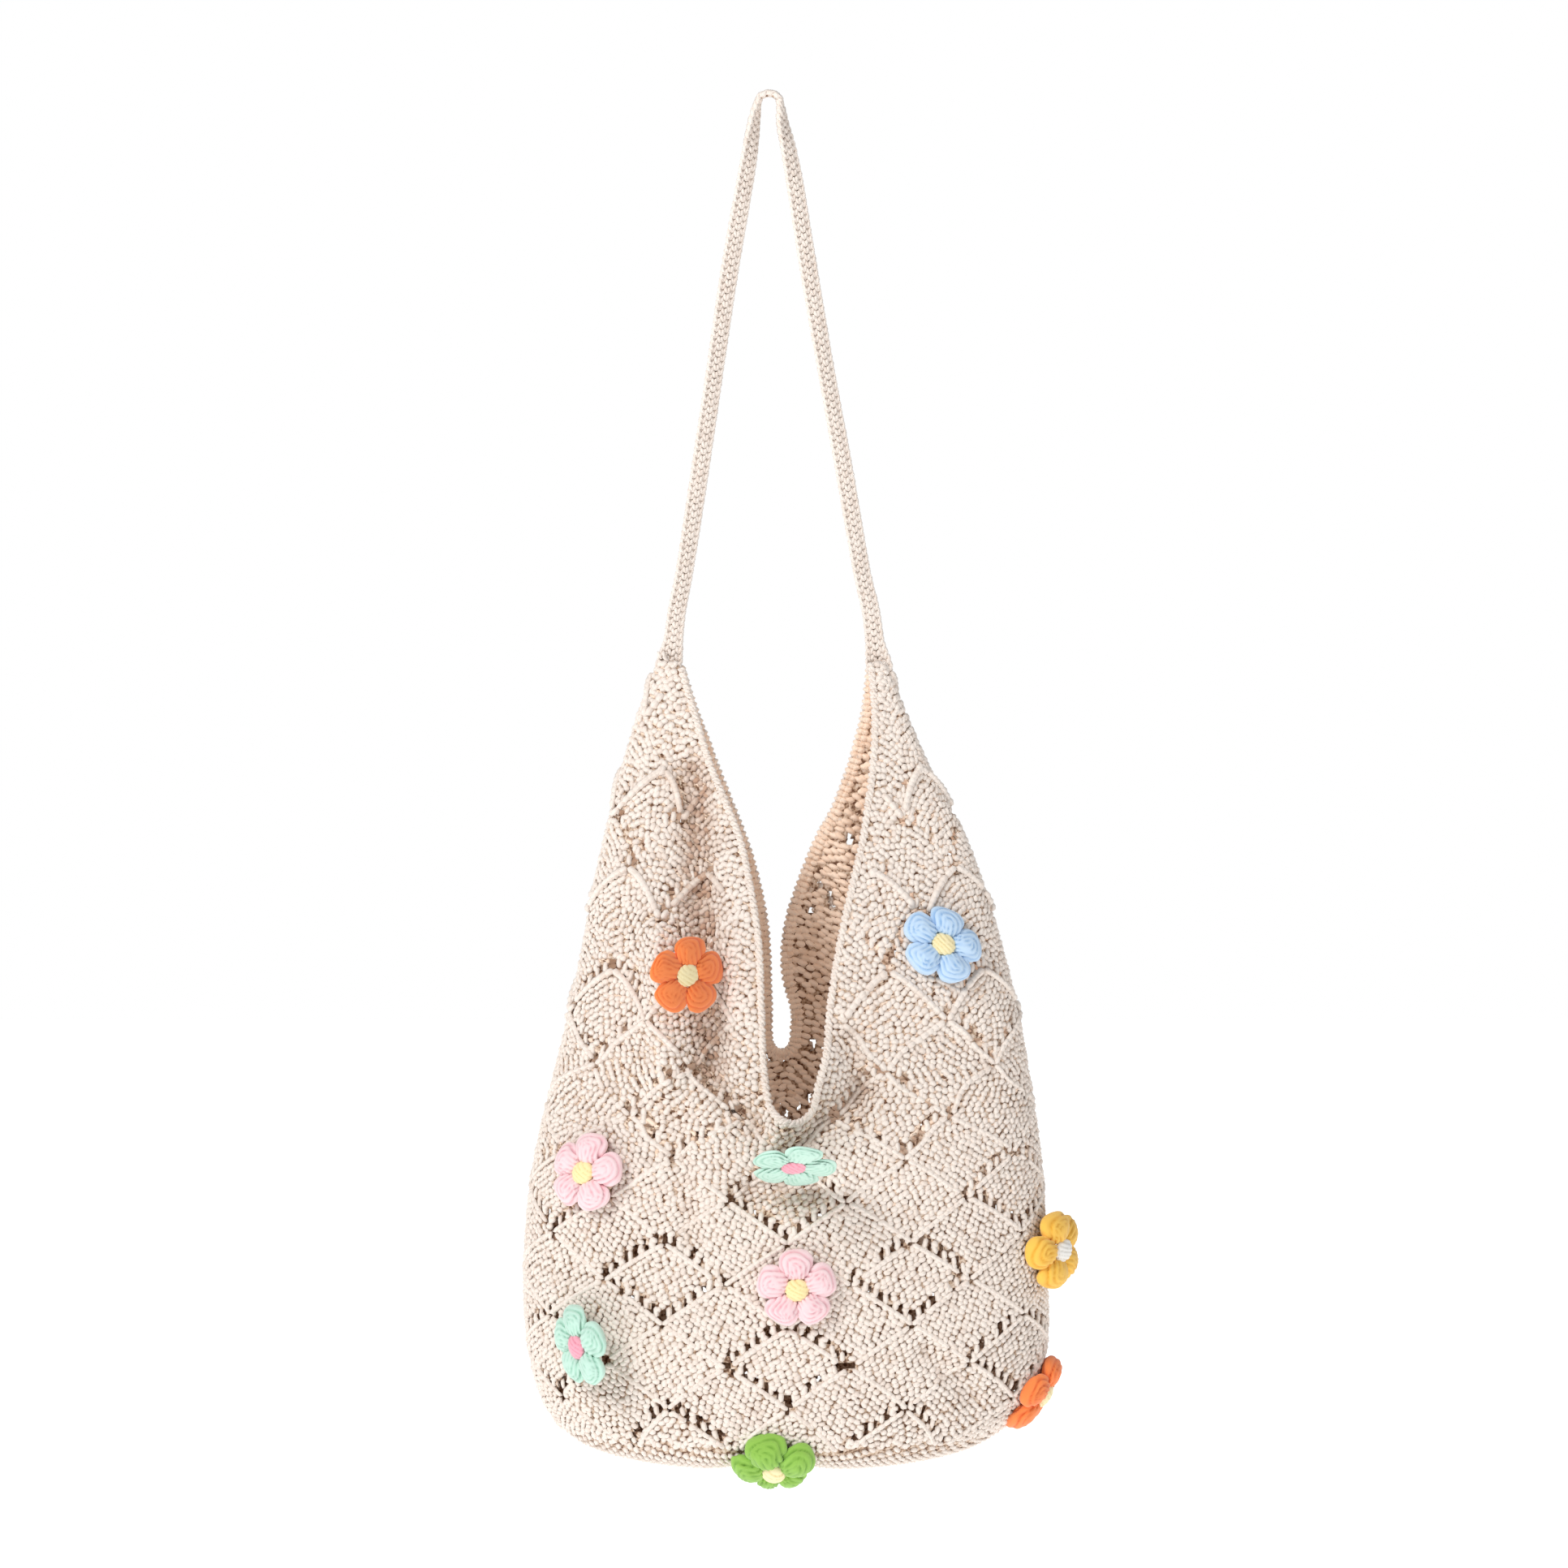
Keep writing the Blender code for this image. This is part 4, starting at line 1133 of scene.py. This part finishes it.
def strap_run():
    """Middle line of the strap, with the direction its wide face runs."""
    x = STRAP_ROUTE["x"] * POINT_SPACING
    z = STRAP_ROUTE["height"] * STRAP_DROP + STRAP_THICKNESS / 2
    turn = np.radians(STRAP_ROUTE["turn"])
    foot = world_height(1) - 0.004
    for end, half in ((0, 0), (-1, 1)):
        middle = WALL.point(1.0, np.linspace(*WALL.span(half, 1.0), 9))[0].mean(axis=0)
        x = np.insert(x, 0, middle[0]) if end == 0 else np.append(x, middle[0])
        z = np.insert(z, 0, foot) if end == 0 else np.append(z, foot)
        turn = np.insert(turn, 0, 0.0) if end == 0 else np.append(turn, math.pi)
    x, z, turn = (through(values, 8) for values in (x, z, turn))
    point = np.stack([x, np.zeros_like(x), z], axis=1)
    run = unit(np.gradient(point, axis=0))
    across = np.stack([run[:, 2], np.zeros_like(x), -run[:, 0]], axis=1)
    wide = across * np.cos(turn)[:, None] + np.array([0, 1.0, 0]) * np.sin(turn)[:, None]
    return point, wide


def make_strap(shape):
    """The strap: columns of V stitches on both faces and a plain row at each side."""
    point, facing = strap_run()
    place, run, wide = evenly_along(point, facing, STRAP_PITCH)
    thick = np.cross(wide, run)
    steps = np.arange(len(place))
    # Wider over the first few stitches at each foot, where it grows out of the point
    flare = 1 + 0.5 * np.exp(-((np.minimum(steps, steps[::-1]) / 2.5) ** 2))[:, None]
    wider = wide * flare
    at, along, out, size = [], [], [], []
    for face in (1, -1):
        for col in (-1, 0, 1):
            for leg in (-1, 1):
                shift = wider * (col * COLUMN_SPACING + leg * LEG_SHIFT)
                crown = 0.0013 - 0.0004 * abs(col)
                step = run * 0.0023 * (col % 2)
                at.append(place + shift + thick * face * crown + step)
                along.append(run + wide * (0.42 * leg * face))
                out.append(thick * face)
                size.append(STRAP_LEG_HALF)
    for side in (-1, 1):
        at.append(place + wider * side * SIDE_SHIFT)
        along.append(run)
        out.append(wide * side)
        size.append(STRAP_SIDE_HALF)
    size = np.concatenate([np.tile(half, (len(place), 1)) for half in size])
    pieces = [np.concatenate(values) for values in (at, along, out)]
    pieces.append(varied(size, len(size), 0.9, 1.12))
    whole = ("shoulder_strap", "cotton_strap")
    sewn("strap_stitches", shape, *pieces, MATERIALS["cotton"], *whole)
    width, thickness = STRAP_CORE
    bm = bmesh.new()
    core = bmesh.ops.create_grid(bm, x_segments=2, y_segments=160, size=0.5)["verts"]
    share = np.array([vert.co[:2] for vert in core])
    middle, _, across = evenly_along(point, facing, STRAP_PITCH / 2)
    line = (share[:, 1] + 0.5) * (len(middle) - 1)
    low = np.minimum(line.astype(int), len(middle) - 2)
    part = (line - low)[:, None]
    centre = middle[low] * (1 - part) + middle[low + 1] * part
    sideways = across[low] * (1 - part) + across[low + 1] * part
    for vert, place in zip(core, centre + sideways * share[:, :1] * width):
        vert.co = place
    bmesh.ops.solidify(bm, geom=bm.faces, thickness=thickness)
    bmesh.ops.recalc_face_normals(bm, faces=bm.faces)
    # The core shows between the loops in the colours of painted shade
    dressed("strap_core", smooth_mesh("strap_core", bm), MATERIALS["between"], *whole)


# Puff flowers


def lay(local, flower):
    """Lays points of a flower on the wall around its seat, tipped by nod and turn. Gives
    the points and the wall's normals under them."""
    station, around = flower_seat(flower)
    girth = float(UNFOLDED.girth_at(station))
    step = 0.01
    ends = [UNFOLDED.point(station + way * step, around)[0] for way in (1, -1)]
    rise = np.linalg.norm(ends[0] - ends[1])
    nod, turn, spin = (math.radians(flower[k]) for k in ("nod", "turn", "spin"))
    x = local[:, 0] * math.cos(spin) - local[:, 1] * math.sin(spin)
    y = local[:, 0] * math.sin(spin) + local[:, 1] * math.cos(spin)
    point, normal = UNFOLDED.point(
        station + y * math.cos(nod) * 2 * step / rise,
        around + x * math.cos(turn) / girth,
    )
    height = local[:, 2] + math.tan(nod) * y - math.tan(turn) * x
    return point + normal * height[:, None], normal


def lift_of(flower):
    """How far the solid flower was raised off the unfolded wall."""
    bm = bmesh.new()
    bmesh.ops.create_uvsphere(bm, u_segments=8, v_segments=5, radius=1)
    local = np.array([vert.co[:] for vert in bm.verts])
    bm.free()
    local[:, :2] *= BUTTON_RADIUS
    local[:, 2] = BUTTON_FLOOR + (local[:, 2] + 1) * BUTTON_HEIGHT / 2
    laid, normal = lay(local, flower)
    low, high = (np.array(c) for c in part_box(f"{flower['name']}_flower_button"))
    middle = (laid.min(axis=0) + laid.max(axis=0)) / 2
    return float(((low + high) / 2 - middle) @ unit(normal.mean(axis=0)))


def petal_points(angle, seed):
    """One puffed petal of nested loops of yarn, with how far each point stands out of the
    grooves between them."""
    bm = bmesh.new()
    bmesh.ops.create_uvsphere(bm, u_segments=44, v_segments=26, radius=1)
    lying = Matrix.Rotation(math.pi / 2, 3, "Y")
    bmesh.ops.rotate(bm, verts=bm.verts, cent=(0, 0, 0), matrix=lying)
    point, faces = shape_of(bm)
    out, across, up = point.T
    reach = np.where(out > 0, np.hypot(out, across), np.abs(across))
    sway = 0.22 * np.sin(3.4 * out + 2.9 * across + 1.7 * seed)
    strand = np.abs(np.sin(math.pi * (PETAL_LOOPS * reach + sway))) ** 0.85
    fuller = np.maximum(1 - out**2, 0.04) ** -0.12
    swell = 0.80 + 0.20 * strand
    half_width, half_height = PETAL_HALF
    x = FLOWER_RADIUS * (PETAL_MIDDLE + PETAL_REACH * out * (0.93 + 0.07 * strand))
    y = across * fuller * swell * half_width * (1 + 0.18 * out)
    z = up * fuller * swell * half_height + PETAL_LIFT - PETAL_DROOP * np.clip(out, 0, 1) ** 2
    cos, sin = math.cos(angle), math.sin(angle)
    return np.stack([x * cos - y * sin, x * sin + y * cos, z], axis=1), faces, strand


def button_points():
    """The wound button in the middle, its strands side by side."""
    bm = bmesh.new()
    bmesh.ops.create_uvsphere(bm, u_segments=36, v_segments=20, radius=1)
    point, faces = shape_of(bm)
    across = 0.8 * point[:, 0] + 0.6 * point[:, 1] + 0.15 * point[:, 2]
    strand = np.abs(np.sin(2.6 * math.pi * across + 0.5 * np.sin(3 * point[:, 1]))) ** 0.6
    point = point * (0.84 + 0.16 * strand)[:, None]
    point[:, :2] *= BUTTON_RADIUS * 1.14
    point[:, 2] = BUTTON_FLOOR + (point[:, 2] * 1.1 + 1) * BUTTON_HEIGHT / 2
    return point, faces, strand


def laid_mesh(name, groups, flower, lift):
    """A mesh of several point groups laid on the wall as one."""
    bm = bmesh.new()
    for local, faces, _ in groups:
        point, normal = lay(local, flower)
        verts = [bm.verts.new(place) for place in point + normal * lift]
        for face in faces:
            bm.faces.new([verts[i] for i in face])
    mesh = smooth_mesh(name, bm)
    # Painted shade: each point darker the deeper it lies in a groove between strands
    store_tone_and_shade(mesh, 1.1 * np.concatenate([strand for _, _, strand in groups]) - 0.2)
    return mesh


def make_flower(flower):
    """A puff flower: five bundled petals and a wound button."""
    name = flower["name"] + "_flower"
    lift = lift_of(flower)
    petals = [petal_points(2 * math.pi * k / PETALS, k + len(name)) for k in range(PETALS)]
    groups = (("puffs", petals, "petals"), ("middle", [button_points()], "button"))
    for label, points, part in groups:
        piece, kind = f"{name}_{label}", flower[part]
        mesh = laid_mesh(piece, points, flower, lift)
        dressed(piece, mesh, MATERIALS[kind], f"{name}_{part}", f"{kind}_yarn")


# Studio


def aim(obj, target):
    """Turns a lamp or camera towards a point."""
    way = Vector(target) - obj.location
    obj.rotation_euler = way.to_track_quat("-Z", "Y").to_euler()


def make_lamp(name, place, size, power):
    """A soft square lamp towards the bag."""
    lamp = bpy.data.lights.new(name, "AREA")
    lamp.size = size
    lamp.energy = power
    obj = linked(name, lamp)
    obj.location = place
    aim(obj, (0, 0, -0.5))


def make_studio():
    """Pale floor, soft lamps, a white surround and the camera."""
    bm = bmesh.new()
    bmesh.ops.create_grid(bm, x_segments=1, y_segments=1, size=6)
    bmesh.ops.translate(bm, verts=bm.verts, vec=(0, 0, -1.6))
    mesh = bpy.data.meshes.new("floor")
    bm.to_mesh(mesh)
    bm.free()
    white, bluish = (1, 1, 1, 1), (0.98, 0.99, 1, 1)
    finish = {"Base Color": linear("#FAFAF9"), "Roughness": 0.9}
    finish.update({"Emission Color": white, "Emission Strength": 0.75})
    mesh.materials.append(plain_material("painted_floor", finish)[0])
    linked("floor", mesh)

    for lamp in LAMPS:
        make_lamp(*lamp)

    world = bpy.data.worlds.new("white_surround")
    world.use_nodes = True
    tree = world.node_tree
    tree.nodes.clear()
    seen = add(tree, "ShaderNodeBackground", (), [("Color", white), ("Strength", 1.0)])
    lit = add(tree, "ShaderNodeBackground", (), [("Color", bluish), ("Strength", 0.43)])
    path = add(tree, "ShaderNodeLightPath")
    either = [("Fac", path, "Is Camera Ray"), (1, lit, 0), (2, seen, 0)]
    mix = add(tree, "ShaderNodeMixShader", either)
    add(tree, "ShaderNodeOutputWorld", [("Surface", mix, 0)])
    bpy.context.scene.world = world

    lens = bpy.data.cameras.new("photo_camera")
    lens.sensor_width = 36
    lens.sensor_height = 36
    lens.lens = FOCAL_LENGTH
    camera = linked("photo_camera", lens)
    camera.location = CAMERA_PLACE
    aim(camera, CAMERA_TARGET)
    bpy.context.scene.camera = camera
    bpy.context.scene.view_settings.view_transform = "Standard"


make_studio()
LOOP = short_loop()
make_cloth()
make_stitches(LOOP)
make_threads(LOOP)
make_ridges(LOOP)
make_inner_stitches(LOOP)
make_bottom(LOOP)
make_edging("front", LOOP)
make_edging("back", LOOP)
make_strap(LOOP)
for each in FLOWERS:
    make_flower(each)
